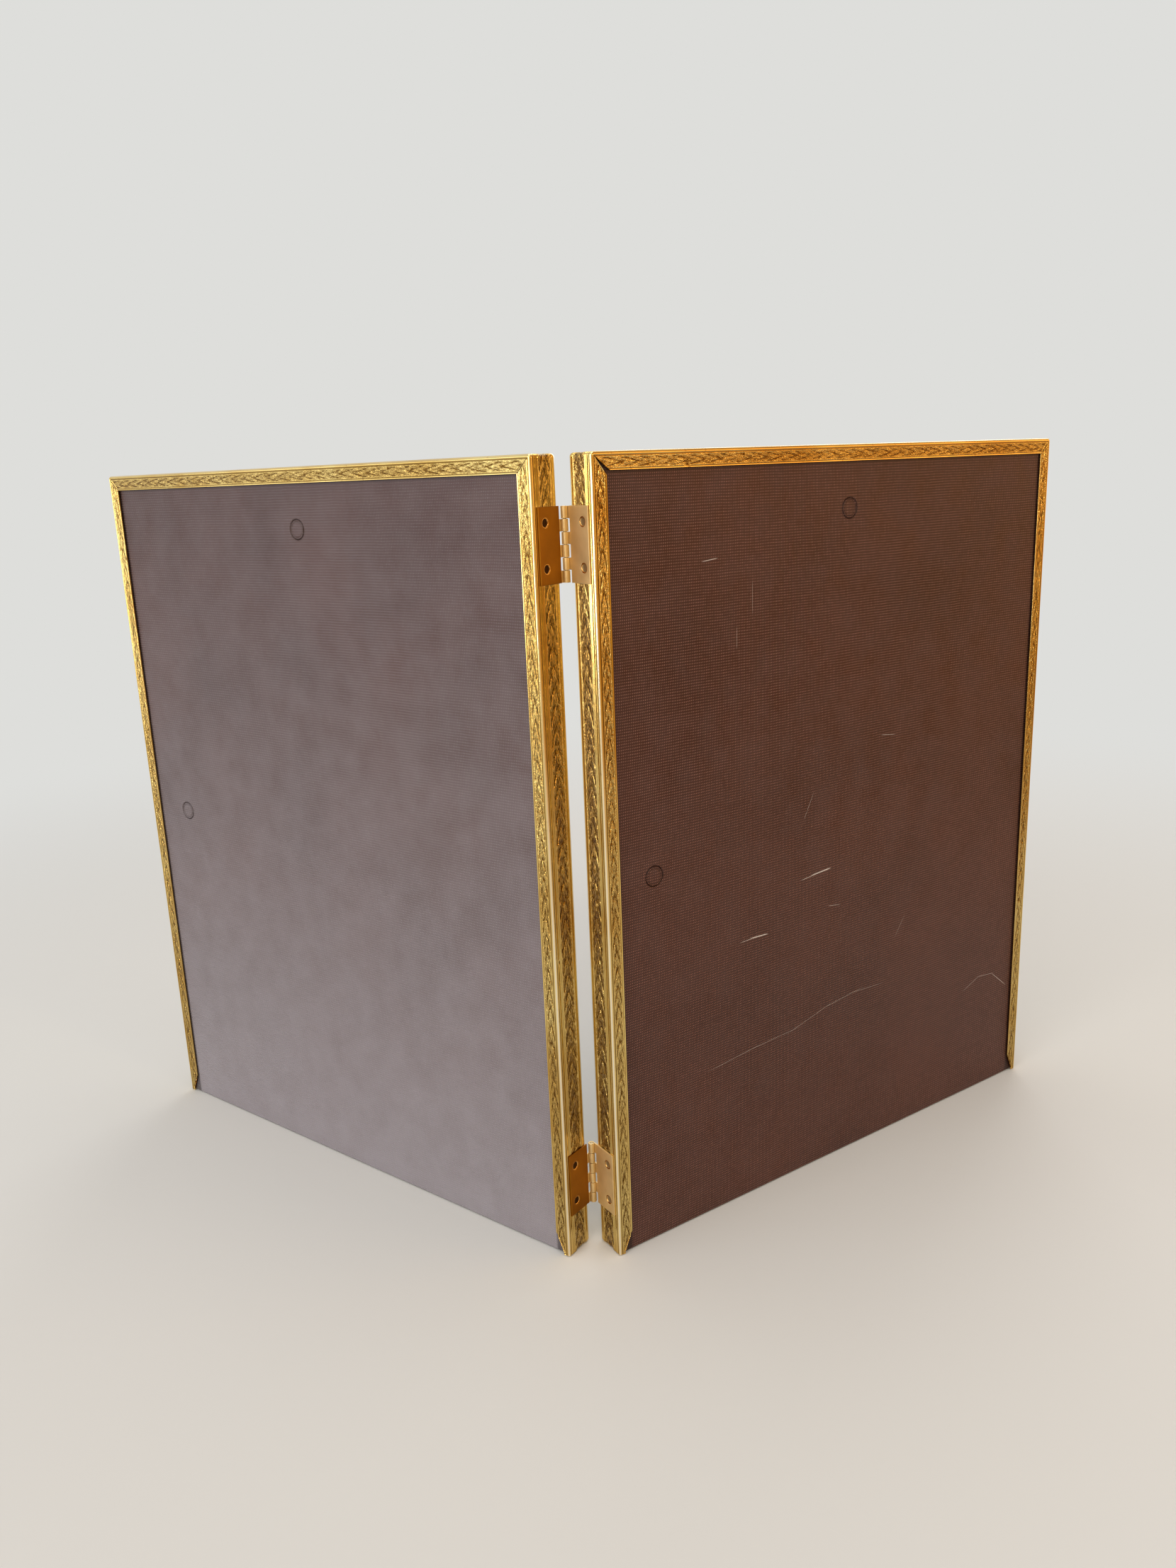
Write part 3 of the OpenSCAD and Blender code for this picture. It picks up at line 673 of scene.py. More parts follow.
def gold_plating():
    """Brass strip, embossed by a roller and bright gold-plated.

    To the eye: polished plain bands with fine rolling streaks, an ornament whose ridges stay bright over a finely
    pitted ground, painted dark brown shade in the hollows and grooves, and a pale painted highlight along the bead.
    """
    mat, tree = new_material("gold_plated_embossed_brass")
    hollow, band, along, across, rubbed = (
        add(tree, "ShaderNodeAttribute", attribute_name=name).outputs["Fac"]
        for name in ("hollow", "band", "along", "across", "rubbed")
    )
    at = add(tree, "ShaderNodeTexCoord").outputs["Object"]

    def rolled(run, width):
        """Noise drawn out along the strip, with cells of the given run and width in metres."""
        x = add(tree, "ShaderNodeMath", {0: along, 1: 1 / run}, operation="MULTIPLY")
        y = add(tree, "ShaderNodeMath", {0: across, 1: 1 / width}, operation="MULTIPLY")
        cell = add(tree, "ShaderNodeCombineXYZ", {"X": x, "Y": y})
        return add(tree, "ShaderNodeTexNoise", {"Vector": cell, "Scale": 1.0, "Detail": 3.0})

    # Streaks 18 mm long and 0.35 mm wide, and pits of 0.7 by 0.22 mm that roughen the hollowness inside the bands
    streak, pits = rolled(0.018, 0.00035), rolled(0.0007, 0.00022)
    pitting = add(tree, "ShaderNodeMapRange", {0: pits, 1: 0.32, 2: 0.68, 3: -0.22, 4: 0.22})
    in_band = add(tree, "ShaderNodeMath", {0: pitting, 1: band}, operation="MULTIPLY")
    depth = add(tree, "ShaderNodeMath", {0: hollow, 1: in_band}, operation="ADD")
    # From gold on the ridges to painted shade, dark brown, in the hollows, grooves and nicks
    gold, dark = (tuple(getattr(settings("colours"), key)) for key in ("gold", "hollow"))
    middle = tuple(0.62 * g + 0.38 * h for g, h in zip(gold, dark))
    base = add(tree, "ShaderNodeValToRGB", {0: depth}, [(0.32, gold), (0.62, middle), (0.94, dark)])
    # Uneven tone in patches of some 20 mm, and brown specks of 1.4 mm
    patch = add(tree, "ShaderNodeTexNoise", {"Vector": at, "Scale": 45.0, "Detail": 5.0})
    tone = add(tree, "ShaderNodeValToRGB", {0: patch}, [(0.3, linear("#E2CFAE")), (0.65, WHITE)])
    spots = add(tree, "ShaderNodeTexNoise", {"Vector": at, "Scale": 700.0, "Detail": 3.0})
    stain = add(tree, "ShaderNodeValToRGB", {0: spots}, [(0.28, linear("#B08A58")), (0.36, WHITE)])
    tint = base
    for share, over in ((1.0, tone), (0.4, stain)):
        mixed = add(tree, "ShaderNodeMix", {0: share, 6: tint, 7: over}, data_type="RGBA", blend_type="MULTIPLY")
        tint = mixed.outputs[2]
    # A painted highlight, pale cream, along the bead's crest
    bright = add(tree, "ShaderNodeMix", {0: rubbed, 6: tint, 7: linear("#FFF8E4")}, data_type="RGBA")
    rough = add(tree, "ShaderNodeMapRange", {0: streak, 3: 0.10, 4: 0.20})
    rougher = add(tree, "ShaderNodeMath", {0: hollow, 1: 0.10, 2: rough}, operation="MULTIPLY_ADD")
    pitted = add(tree, "ShaderNodeBump", {"Height": in_band, "Strength": 0.9, "Distance": 0.00018})
    streaky = {"Height": streak, "Strength": 0.10, "Distance": 0.00005, "Normal": pitted}
    shader = add(tree, "ShaderNodeBsdfPrincipled", {
        "Base Color": bright.outputs[2], "Roughness": rougher, "Normal": add(tree, "ShaderNodeBump", streaky),
        "Metallic": 1.0,
    })
    add(tree, "ShaderNodeOutputMaterial", {0: shader})
    return mat


def satin_brass(name, tint, flat_tint, low, high):
    """Brass, brushed and clear-lacquered: a soft warm sheen with hair lines up the piece and faint tarnish.

    It has painted shade, dark brown, where it is hollow, and a tint of its own on a leaf's flat. low and high bound its
    roughness.
    """
    mat, tree = new_material(name)
    at = add(tree, "ShaderNodeTexCoord").outputs["Object"]
    plate, hollow = (
        add(tree, "ShaderNodeAttribute", attribute_name=name).outputs["Fac"] for name in ("plate", "hollow")
    )
    # Hair lines 8 mm long and 0.3 mm wide, and tarnish in patches of 6 mm
    drawn = add(tree, "ShaderNodeMapping", {"Vector": at, "Scale": (3500, 3500, 120)})
    hair = add(tree, "ShaderNodeTexNoise", {"Vector": drawn, "Scale": 1.0, "Detail": 2.0})
    patch = add(tree, "ShaderNodeTexNoise", {"Vector": at, "Scale": 160.0, "Detail": 5.0})
    worn = add(tree, "ShaderNodeValToRGB", {0: patch}, [(0.3, (0.82, 0.80, 0.78, 1)), (0.7, WHITE)])
    tinted = add(tree, "ShaderNodeMix", {0: plate, 6: tint, 7: flat_tint}, data_type="RGBA").outputs[2]
    tone = add(tree, "ShaderNodeMix", {0: 1.0, 6: tinted, 7: worn}, data_type="RGBA", blend_type="MULTIPLY").outputs[2]
    # Painted shade, dark brown, where the piece is hollow: in the rivet holes
    hollow_shaded = add(tree, "ShaderNodeMix", {0: hollow, 6: tone, 7: linear("#3A220F")}, data_type="RGBA")
    shader = add(tree, "ShaderNodeBsdfPrincipled", {
        "Base Color": hollow_shaded.outputs[2],
        "Roughness": add(tree, "ShaderNodeMapRange", {0: hair, 3: low, 4: high}),
        "Normal": add(tree, "ShaderNodeBump", {"Height": hair, "Strength": 0.15, "Distance": 0.00005}),
        "Metallic": 1.0,
    })
    add(tree, "ShaderNodeOutputMaterial", {0: shader})
    return mat


# Scratches on the right board: both ends in panel millimetres (u, z), and half the width
SCRATCHES = [
    ((81.5, 112.6), (92.5, 113.7), 0.08), ((86.5, 113.3), (96.6, 114.1), 0.22),
    ((53.8, 96.9), (64.0, 97.3), 0.08), ((58.5, 97.3), (66.8, 97.0), 0.20), ((39.7, 224.1), (46.3, 224.8), 0.11),
    ((60.2, 217.2), (60.2, 206.1), 0.035), ((53.7, 203.4), (53.6, 195.8), 0.03), ((120.2, 158.1), (127.7, 157.2), 0.06),
    ((170.9, 45.1), (181.4, 49.3), 0.05), ((179.4, 49.1), (190.6, 47.9), 0.05), ((188.6, 48.4), (198.6, 40.2), 0.08),
    ((39.0, 54.0), (64.0, 56.7), 0.035), ((55.0, 55.9), (82.0, 57.6), 0.03), ((75.0, 56.4), (98.0, 62.3), 0.035),
    ((92.0, 61.1), (114.0, 63.8), 0.035), ((106.0, 63.2), (125.0, 62.4), 0.03), ((95.2, 100.1), (101.5, 99.2), 0.05),
    ((129.9, 78.6), (135.5, 87.0), 0.03), ((83.0, 133.8), (87.8, 143.4), 0.03),
]


def scratch_mask(tree, at, start, end, half):
    """1 on a scratch: on the line between its ends, below half its width, softened by as much again."""
    (u0, z0), (u1, z1) = start, end
    size = np.hypot(u1 - u0, z1 - z0) * MM
    turned = add(tree, "ShaderNodeMapping", {
        "Vector": at, "Location": (u0 * MM, 0, z0 * MM), "Rotation": (0, -np.arctan2(z1 - z0, u1 - u0), 0),
    }, vector_type="TEXTURE")
    x, _, z = add(tree, "ShaderNodeSeparateXYZ", {0: turned}).outputs
    along = add(tree, "ShaderNodeMath", {0: x, 1: size / 2}, operation="SUBTRACT")
    from_middle = add(tree, "ShaderNodeMath", {0: along}, operation="ABSOLUTE")
    within = add(tree, "ShaderNodeMapRange", {0: from_middle, 1: 0.3 * size, 2: 0.5 * size, 3: 1.0, 4: 0.0})
    off = add(tree, "ShaderNodeMath", {0: z}, operation="ABSOLUTE")
    thin = add(tree, "ShaderNodeMapRange", {0: off, 1: 0.5 * half * MM, 2: 1.4 * half * MM, 3: 1.0, 4: 0.0})
    return add(tree, "ShaderNodeMath", {0: within, 1: thin}, operation="MULTIPLY")


def linen_board(side, name):
    """Hardboard faced with brown linen-embossed paper.

    To the eye: rows of small raised dots with painted highlights on their tips, on a dull waxed ground with a few
    scuffs, the left board under a film of dust and a painted grey sheen.
    """
    colours, sizes, left = settings("colours"), settings("board"), side == LEFT
    mat, tree = new_material(name)
    # Panel coordinates in metres: across from the hinge axis and up
    at = add(tree, "ShaderNodeMapping", {
        "Vector": add(tree, "ShaderNodeTexCoord").outputs["Object"], "Location": (0, AXIS_Y * MM, 0),
        "Rotation": (0, 0, side * HALF_FOLD),
    }, vector_type="TEXTURE")
    across, _, up = add(tree, "ShaderNodeSeparateXYZ", {0: at}).outputs
    # Dots where the sum of two sines stands high, in rows bent by up to 0.4 mm, uneven in strength over 1.4 mm
    warp = add(tree, "ShaderNodeTexNoise", {"Vector": at, "Scale": 130.0, "Detail": 2.0})
    bent = add(tree, "ShaderNodeMath", {0: warp, 1: 0.0004}, operation="MULTIPLY")
    sines = []
    for way, pitch in ((across, sizes.dot_u), (up, sizes.dot_z)):
        shifted = add(tree, "ShaderNodeMath", {0: way, 1: bent}, operation="ADD")
        turns = add(tree, "ShaderNodeMath", {0: shifted, 1: 2 * np.pi / pitch}, operation="MULTIPLY")
        sines.append(add(tree, "ShaderNodeMath", {0: turns}, operation="SINE"))
    both = add(tree, "ShaderNodeMath", dict(enumerate(sines)), operation="ADD")
    dots = add(tree, "ShaderNodeMapRange", {0: both, 1: 0.4, 2: 1.9})
    uneven = add(tree, "ShaderNodeTexNoise", {"Vector": at, "Scale": 700.0, "Detail": 2.0})
    strength = add(tree, "ShaderNodeMapRange", {0: uneven, 1: 0.35, 2: 0.65, 3: 0.45, 4: 1.0})
    dotted = add(tree, "ShaderNodeMath", {0: dots, 1: strength}, operation="MULTIPLY")

    def brown(k, lift=0.0):
        return *(min(1, k * v + lift) for v in colours.board[:3]), 1.0

    # Clouds of some 45 mm in the paper's brown
    cloud = add(tree, "ShaderNodeTexNoise", {"Vector": at, "Scale": 22.0, "Detail": 5.0})
    ground = add(tree, "ShaderNodeValToRGB", {0: cloud}, [(0.30, brown(0.60)), (0.70, brown(0.87))])
    # A film of dust with hand marks of some 10 mm, and on the left board a painted grey sheen that grows low down
    squat = add(tree, "ShaderNodeMapping", {"Vector": at, "Scale": (105, 105, 88)})
    smear = add(tree, "ShaderNodeTexNoise", {"Vector": squat, "Scale": 1.0, "Detail": 4.0, "Roughness": 0.6})
    dusty = add(tree, "ShaderNodeMapRange", {0: smear, 1: 0.30, 2: 0.75, 4: 0.16 if left else 0.05})
    fall = add(tree, "ShaderNodeMapRange", {0: up, 2: PANEL_H * MM, 3: 1.0, 4: 0.0})
    low_down = add(tree, "ShaderNodeMath", {0: fall, 1: 1.5}, operation="POWER")
    dust_and_sheen = {0: low_down, 1: 0.80 if left else 0.0, 2: dusty}
    dust_and_sheen = add(tree, "ShaderNodeMath", dust_and_sheen, operation="MULTIPLY_ADD")
    # Painted highlights on the dots' tips, stronger low down: grey on the left board, light brown on the right
    glint = add(tree, "ShaderNodeMapRange", {0: low_down, 3: 0.50 if left else 0.85, 4: 0.95})
    dot_highlights = add(tree, "ShaderNodeMath", {0: dotted, 1: glint}, operation="MULTIPLY")
    # Painted shade in the rings' cuts and a painted shadow in the corner below the flange
    cut = add(tree, "ShaderNodeAttribute", attribute_name="cut").outputs["Fac"]
    painted_shade = add(tree, "ShaderNodeMath", {0: cut, 1: 0.75}, operation="MULTIPLY")
    # Over the ground: dust with painted sheen, painted highlights on the dots, painted shade and shadow, and scuffs on
    # the right
    layers = [
        (dust_and_sheen, linear("#928B8F")), (dot_highlights, linear("#A1979A") if left else brown(4.2, 0.045)), (painted_shade, linear("#1E100C")),
    ]
    if not left:
        shifted = add(tree, "ShaderNodeMapping", {"Vector": at, "Location": (-BARREL_R * MM, 0, 0)})
        scratched = 0.0
        for scratch in SCRATCHES:
            marks = {0: scratched, 1: scratch_mask(tree, shifted, *scratch)}
            scratched = add(tree, "ShaderNodeMath", marks, operation="MAXIMUM")
        scuff = add(tree, "ShaderNodeMath", {0: scratched, 1: 0.90}, operation="MULTIPLY")
        layers.append((scuff, linear("#CFC3BA")))
    seen = ground
    for share, tint in layers:
        seen = add(tree, "ShaderNodeMix", {0: share, 6: seen, 7: tint}, data_type="RGBA").outputs[2]
    emboss = add(tree, "ShaderNodeBump", {"Height": dotted, "Strength": 1.0, "Distance": 0.00018})
    fibre = add(tree, "ShaderNodeTexNoise", {"Vector": at, "Scale": 3000.0, "Detail": 3.0})
    fine = {"Height": fibre, "Strength": 0.2, "Distance": 0.00004, "Normal": emboss}
    shader = add(tree, "ShaderNodeBsdfPrincipled", {
        "Base Color": seen,
        "Roughness": add(tree, "ShaderNodeMapRange", {0: smear, 1: 0.35, 2: 0.7, 3: 0.36, 4: 0.50}),
        "Normal": add(tree, "ShaderNodeBump", fine),
        "Specular IOR Level": 0.34 if left else 0.22,
    })
    add(tree, "ShaderNodeOutputMaterial", {0: shader})
    return mat


def plain_finish(name, dark, light, scale, rough, metallic=0.0, distance=0.00005, stretch=(1, 1, 1)):
    """A plain surface whose colour wanders between two tones and whose grain shows as a low bump.

    The scale gives the grain: 1.1 mm for drawn wire, 1.7 to 2 mm for card, kraft paper and tinned sheet.
    """
    mat, tree = new_material(name)
    at = add(tree, "ShaderNodeTexCoord").outputs["Object"]
    stretched = add(tree, "ShaderNodeMapping", {"Vector": at, "Scale": stretch})
    grain = add(tree, "ShaderNodeTexNoise", {"Vector": stretched, "Scale": scale, "Detail": 5.0})
    shader = add(tree, "ShaderNodeBsdfPrincipled", {
        "Base Color": add(tree, "ShaderNodeValToRGB", {0: grain}, [(0.3, dark), (0.7, light)]),
        "Roughness": rough,
        "Normal": add(tree, "ShaderNodeBump", {"Height": grain, "Strength": 0.3, "Distance": distance}),
        "Metallic": metallic,
    })
    add(tree, "ShaderNodeOutputMaterial", {0: shader})
    return mat


def float_glass():
    """Cut float glass: clear, with a slight waviness some 70 mm long."""
    mat, tree = new_material("clear_float_glass")
    at = add(tree, "ShaderNodeTexCoord").outputs["Object"]
    wave = add(tree, "ShaderNodeTexNoise", {"Vector": at, "Scale": 14.0, "Detail": 1.0})
    tones = [(0.2, linear("#FBFDFC")), (0.8, linear("#FDFEFD"))]
    shader = add(tree, "ShaderNodeBsdfPrincipled", {
        "Base Color": add(tree, "ShaderNodeValToRGB", {0: wave}, tones),
        "Roughness": 0.02,
        "Normal": add(tree, "ShaderNodeBump", {"Height": wave, "Strength": 0.05, "Distance": 0.0005}),
        "Transmission Weight": 1.0,
        "IOR": 1.52,
    })
    add(tree, "ShaderNodeOutputMaterial", {0: shader})
    return mat


def dress(material, *nodes):
    """Gives the CAD nodes this material."""
    for n in nodes:
        piece = frame["nodes"][n]
        piece.data.materials.clear()
        piece.data.materials.append(material)


# ---- Operators


class PHOTOFRAME_OT_strips(bpy.types.Operator):
    """Builds the embossed gold strip round each panel"""

    bl_idname = "photo_frame.strips"
    bl_label = "Pressed strips"

    def execute(self, context):
        gold = gold_plating()
        for side, name in SIDES:
            pieces = make_strip(side, name, gold)
            for piece in pieces:
                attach(piece, f"{name}_frame")
                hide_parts(f"{name}_frame_strip")
        return {"FINISHED"}


class PHOTOFRAME_OT_boards(bpy.types.Operator):
    """Builds the two linen-embossed backing boards with their knock-out rings"""

    bl_idname = "photo_frame.boards"
    bl_label = "Backing boards"

    def execute(self, context):
        top, middle = PANEL_H - 20.2, PANEL_H / 2
        rings = {
            "left": ((PANEL_W - 104.5, top), (PANEL_W - 22.6, middle)),
            "right": ((102.7, top), (18.9, middle)),
        }
        for side, name in SIDES:
            board = make_board(side, name, rings[name], linen_board(side, f"linen_embossed_hardboard_{name}"))
            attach(board, f"{name}_board")
            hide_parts(f"{name}_backing_board")
        return {"FINISHED"}


class PHOTOFRAME_OT_hinges(bpy.types.Operator):
    """Builds the four rolled leaves of the two butt hinges"""

    bl_idname = "photo_frame.hinges"
    bl_label = "Hinge leaves"

    def execute(self, context):
        # The left leaves' flats take the darker copy, painted shade; knuckles and the right leaves' flats take the
        # brass
        new, shaded_tint = tuple(settings("colours").brass), tuple(settings("colours").shaded_brass)
        flats = {"left": shaded_tint, "right": new}
        heights = (("upper", PANEL_H - HINGE_INSET - HINGE_H), ("lower", HINGE_INSET))
        for side, name in SIDES:
            brass = satin_brass(f"satin_lacquered_brass_{name}", new, flats[name], 0.50, 0.60)
            for level, z0 in heights:
                first = 0 if side == LEFT else 1
                leaf = make_leaf(side, f"{name}_{level}_rolled_leaf", z0, first, brass)
                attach(leaf, f"{name}_frame")
                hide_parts(f"{name}_{level}_leaf")
        pin = plain_finish("drawn_steel_pin", linear("#8B7A58"), linear("#B9A67E"), 900, 0.35, 1.0)
        dress(pin, "upper_pin", "lower_pin")
        return {"FINISHED"}


class PHOTOFRAME_OT_rivets(bpy.types.Operator):
    """Builds the eight tubular rivets of the hinge leaves"""

    bl_idname = "photo_frame.rivets"
    bl_label = "Tubular rivets"

    def execute(self, context):
        brass = satin_brass("bright_drawn_brass", linear("#C79552"), linear("#C79552"), 0.16, 0.26)
        for side, name in SIDES:
            rivets = make_rivets(side, name, brass)
            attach(rivets, f"{name}_frame")
            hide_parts(f"{name}_rivets")
        return {"FINISHED"}


class PHOTOFRAME_OT_contents(bpy.types.Operator):
    """Finishes the glass, picture card, filler pad and splice plate"""

    bl_idname = "photo_frame.contents"
    bl_label = "Contents"

    def execute(self, context):
        glass = float_glass()
        card = plain_finish("uncoated_ivory_card", linear("#E8E2D2"), settings("colours").card, 600, 0.75)
        kraft = linear("#A6865C"), linear("#B59469")
        pad = plain_finish("kraft_corrugated_pad", *kraft, 520, 0.85, distance=0.0001, stretch=(1, 1, 0.15))
        tin = plain_finish("tinned_steel_plate", linear("#9A9A97"), linear("#C4C4C0"), 500, 0.34, 1.0)
        for side, name in SIDES:
            dress(glass, f"{name}_glass")
            dress(pad, f"{name}_filler_pad")
            dress(tin, f"{name}_splice_plate")
            sheet = make_card(side, name, card)
            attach(sheet, f"{name}_frame")
            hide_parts(f"{name}_picture_card")
        return {"FINISHED"}


def make_card(side, name, material):
    """The plain card behind the glass: a sheet with a slight wave, 0.05 mm clear of the glass."""
    us = np.linspace(CARD_INSET, PANEL_W - CARD_INSET, 50)
    z, u = np.meshgrid(np.linspace(*CARD_Z, 60), us, indexing="ij")
    front = CARD_V + 0.03 * soft_noise(u / 40, z / 50, 61 + side)
    shell = Shell()
    points = np.concatenate([place(side, u, v, z).reshape(-1, 3) for v in (front, front + CARD_T)])
    shell.add(points, slab_faces(*u.shape))
    return shell.build(f"{name}_plain_card", material, 50)


class PHOTOFRAME_OT_stage(bpy.types.Operator):
    """Builds the floor, the soft lights, the world and the camera"""

    bl_idname = "photo_frame.stage"
    bl_label = "Stage"

    def execute(self, context):
        scene = context.scene
        # Floor: a disc, its rings at radii that grow as the square of their number
        rings, columns = 24, 96
        radii = 7.0 * (np.arange(1, rings + 1)[:, None] / rings) ** 2
        t = np.linspace(0, 2 * np.pi, columns, endpoint=False)
        points = np.stack([radii * np.cos(t), radii * np.sin(t), 0 * radii * t], -1).reshape(-1, 3)
        quads, middle, _ = tube_faces(rings, columns)
        mesh = bpy.data.meshes.new("floor")
        mesh.from_pydata(points.tolist(), [], quads.tolist() + middle.tolist())
        floor = bpy.data.objects.new("floor", mesh)
        mesh.materials.append(studio_floor())
        context.collection.objects.link(floor)

        world = bpy.data.worlds.new("studio")
        scene.world = world
        world.use_nodes = True
        tree = world.node_tree
        tree.nodes.clear()
        way = add(tree, "ShaderNodeTexCoord").outputs["Generated"]
        soft = add(tree, "ShaderNodeBackground", {"Color": linear("#F4F2EE"), "Strength": 0.36})
        pale = add(tree, "ShaderNodeBackground", {"Color": backdrop_colour(tree, way), "Strength": 1.0})
        mix = add(tree, "ShaderNodeMixShader", {0: not_diffuse(tree), 1: soft, 2: pale})
        add(tree, "ShaderNodeOutputWorld", {0: mix})

        for name, spot, aim, size, power, tint in (
            ("window_left", (-1.60, -0.50, 0.28), (0, 0, 0.10), (1.1, 0.8), 5, "#DDE7FF"),
            ("window_front", (-1.05, -1.35, 0.70), (0, 0, 0.12), (1.5, 1.1), 15.5, "#FFFCF6"),
            ("warm_right", (1.35, -0.15, 0.50), (0, 0, 0.12), (0.8, 0.8), 3, "#FFC888"),
            ("glint_left", (-0.85, -0.95, 0.10), (0, 0, 0.12), (0.14, 0.14), 1.6, "#FFFFFF"),
            ("glint_middle", (0.12, -1.00, 0.95), (0, 0, 0.12), (0.14, 0.14), 1.6, "#FFF6E0"),
            ("glint_right", (0.95, -0.80, 0.45), (0, 0, 0.12), (0.14, 0.14), 1.4, "#FFE9C0"),
            ("back_fill", (0.50, 1.60, 0.75), (0, 0, 0.12), (1.2, 1.0), 9, "#FFFFFF"),
            ("overhead", (0.0, -0.10, 1.60), (0, 0, 0.1), (1.2, 1.2), 10, "#FFFFFF"),
        ):
            data = bpy.data.lights.new(name, "AREA")
            data.shape = "RECTANGLE"
            data.size, data.size_y = size
            data.energy = power
            data.color = linear(tint)[:3]
            lamp = bpy.data.objects.new(name, data)
            lamp.matrix_world = look_matrix(spot, np.array(aim, float) - np.array(spot, float))
            context.collection.objects.link(lamp)

        camera = bpy.data.cameras.new("camera")
        camera.lens = 27.16
        camera.sensor_width = 36.0
        camera.clip_start = 0.01
        eye = bpy.data.objects.new("camera", camera)
        eye.matrix_world = camera_matrix()
        context.collection.objects.link(eye)
        scene.camera = eye
        scene.view_settings.view_transform = "Standard"
        return {"FINISHED"}


def not_diffuse(tree):
    """1 for rays from the camera, off gloss or through glass, 0 for the rays that light the object."""
    path = add(tree, "ShaderNodeLightPath").outputs
    share = path["Is Camera Ray"]
    for kind in ("Is Glossy Ray", "Is Transmission Ray"):
        share = add(tree, "ShaderNodeMath", {0: share, 1: path[kind]}, operation="MAXIMUM")
    return share


# The studio's wall by direction, from opposite WALL_WAY (0) to along it (1)
WALL_WAY = (-0.9, 0.436, 0)
WALL_TONES = ((0.0, "#BC8640"), (0.26, "#DCB066"), (0.58, "#DAD8D5"), (1.0, "#EEEEED"))


def backdrop_colour(tree, way):
    """The studio's wall: an even pale tone to the camera; for gloss pale behind and on the left, browner elsewhere."""
    level = add(tree, "ShaderNodeVectorMath", {0: way, 1: (1, 1, 0)}, operation="MULTIPLY")
    unit = add(tree, "ShaderNodeVectorMath", {0: level}, operation="NORMALIZE")
    towards = add(tree, "ShaderNodeVectorMath", {0: unit, 1: WALL_WAY}, operation="DOT_PRODUCT").outputs["Value"]
    shade = add(tree, "ShaderNodeMapRange", {0: towards, 1: -1.0, 2: 1.0})
    graded = add(tree, "ShaderNodeValToRGB", {0: shade}, [(at, linear(tone)) for at, tone in WALL_TONES])
    from_camera = add(tree, "ShaderNodeLightPath").outputs["Is Camera Ray"]
    mixed = add(tree, "ShaderNodeMix", {0: from_camera, 6: graded, 7: linear("#DEDEDB")}, data_type="RGBA")
    return mixed.outputs[2]


def studio_floor():
    """Matt pale paper that keeps the object's shadow and runs out far away into the colour of the studio's wall."""
    mat, tree = new_material("matt_studio_paper")
    at = add(tree, "ShaderNodeTexCoord").outputs["Object"]
    fibre = add(tree, "ShaderNodeTexNoise", {"Vector": at, "Scale": 900.0, "Detail": 3.0})
    shader = add(tree, "ShaderNodeBsdfPrincipled", {
        "Base Color": settings("colours").floor,
        "Roughness": 0.8,
        "Normal": add(tree, "ShaderNodeBump", {"Height": fibre, "Strength": 0.1, "Distance": 0.0001}),
    })
    reach = add(tree, "ShaderNodeVectorMath", {0: at}, operation="LENGTH").outputs["Value"]
    far = add(tree, "ShaderNodeMapRange", {0: reach, 1: 0.26, 2: 0.85}, interpolation_type="SMOOTHSTEP")
    share = add(tree, "ShaderNodeMath", {0: far, 1: not_diffuse(tree)}, operation="MULTIPLY")
    glow = add(tree, "ShaderNodeEmission", {"Color": backdrop_colour(tree, at), "Strength": 1.0})
    mix = add(tree, "ShaderNodeMixShader", {0: share, 1: shader, 2: glow})
    add(tree, "ShaderNodeOutputMaterial", {0: mix})
    return mat


def look_matrix(spot, way):
    """A lamp's matrix: its -Z points along the given way."""
    z = -np.asarray(way, float) / np.linalg.norm(way)
    x = np.cross((0, 0, 1), z)
    x /= np.linalg.norm(x)
    y = np.cross(z, x)
    m = np.eye(4)
    m[:3, 0], m[:3, 1], m[:3, 2], m[:3, 3] = x, y, z, spot
    return Matrix(m.tolist())


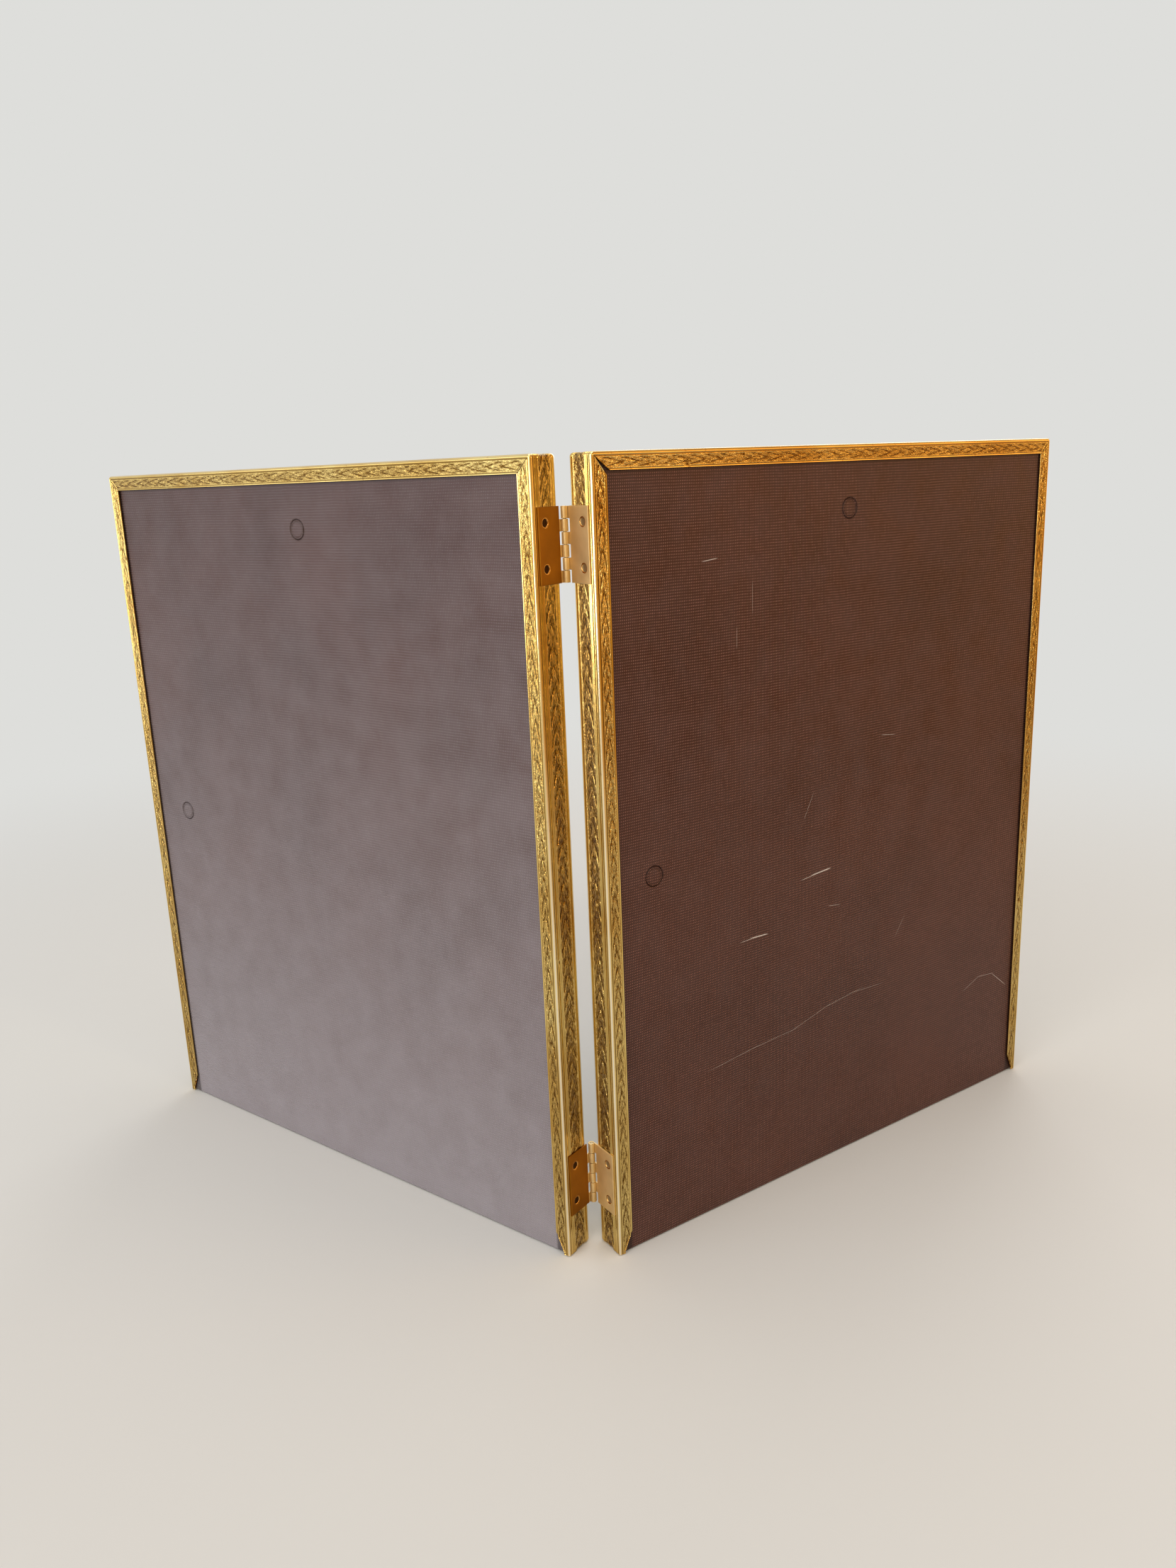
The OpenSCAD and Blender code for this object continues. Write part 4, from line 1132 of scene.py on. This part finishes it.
# The camera: radians, and millimetres
YAW, ROLL, PITCH = 0.0200, 0.0390, -0.2566
EYE = (14.27, -349.34 + AXIS_Y, 251.20)


def camera_matrix():
    """The photograph's viewpoint, as solved from the frame's corners.

    It is turned about Z by 1.1 degrees, rolled by 2.2 and pitched down by 14.7, from level along +Y.
    """
    turn = Euler((np.pi / 2 + PITCH, 0, 0)).to_matrix()
    turn = Euler((0, 0, YAW)).to_matrix() @ Euler((0, ROLL, 0)).to_matrix() @ turn
    return Matrix.Translation(Vector(EYE) * MM) @ turn.to_4x4()


class PHOTOFRAME_PT_panel(bpy.types.Panel):
    """Lists what builds the frame"""

    bl_label = "Photo Frame"
    bl_idname = "PHOTOFRAME_PT_panel"
    bl_space_type = "VIEW_3D"
    bl_region_type = "UI"
    bl_category = "Photo Frame"

    def draw(self, context):
        column = self.layout.column()
        for group in ("strip", "board", "colours"):
            data = settings(group)
            for key in data.__annotations__:
                column.prop(data, key)
        for operator in BUILD_ORDER:
            column.operator(operator)


BUILD_ORDER = (
    "photo_frame.strips", "photo_frame.boards", "photo_frame.hinges", "photo_frame.rivets",
    "photo_frame.contents", "photo_frame.stage",
)
GROUPS = {"strip": StripSizes, "board": BoardSizes, "colours": FrameColours}
CLASSES = (
    *GROUPS.values(), PHOTOFRAME_OT_strips, PHOTOFRAME_OT_boards, PHOTOFRAME_OT_hinges, PHOTOFRAME_OT_rivets,
    PHOTOFRAME_OT_contents, PHOTOFRAME_OT_stage, PHOTOFRAME_PT_panel,
)


def register():
    for item in CLASSES:
        bpy.utils.register_class(item)
    for key, group in GROUPS.items():
        setattr(bpy.types.Scene, "photo_frame_" + key, PointerProperty(type=group))


def unregister():
    for key in GROUPS:
        delattr(bpy.types.Scene, "photo_frame_" + key)
    for item in reversed(CLASSES):
        bpy.utils.unregister_class(item)


def main():
    register()
    for operator in BUILD_ORDER:
        group, name = operator.split(".")
        getattr(getattr(bpy.ops, group), name)()
    bpy.context.view_layer.update()


if __name__ == "__main__":
    main()
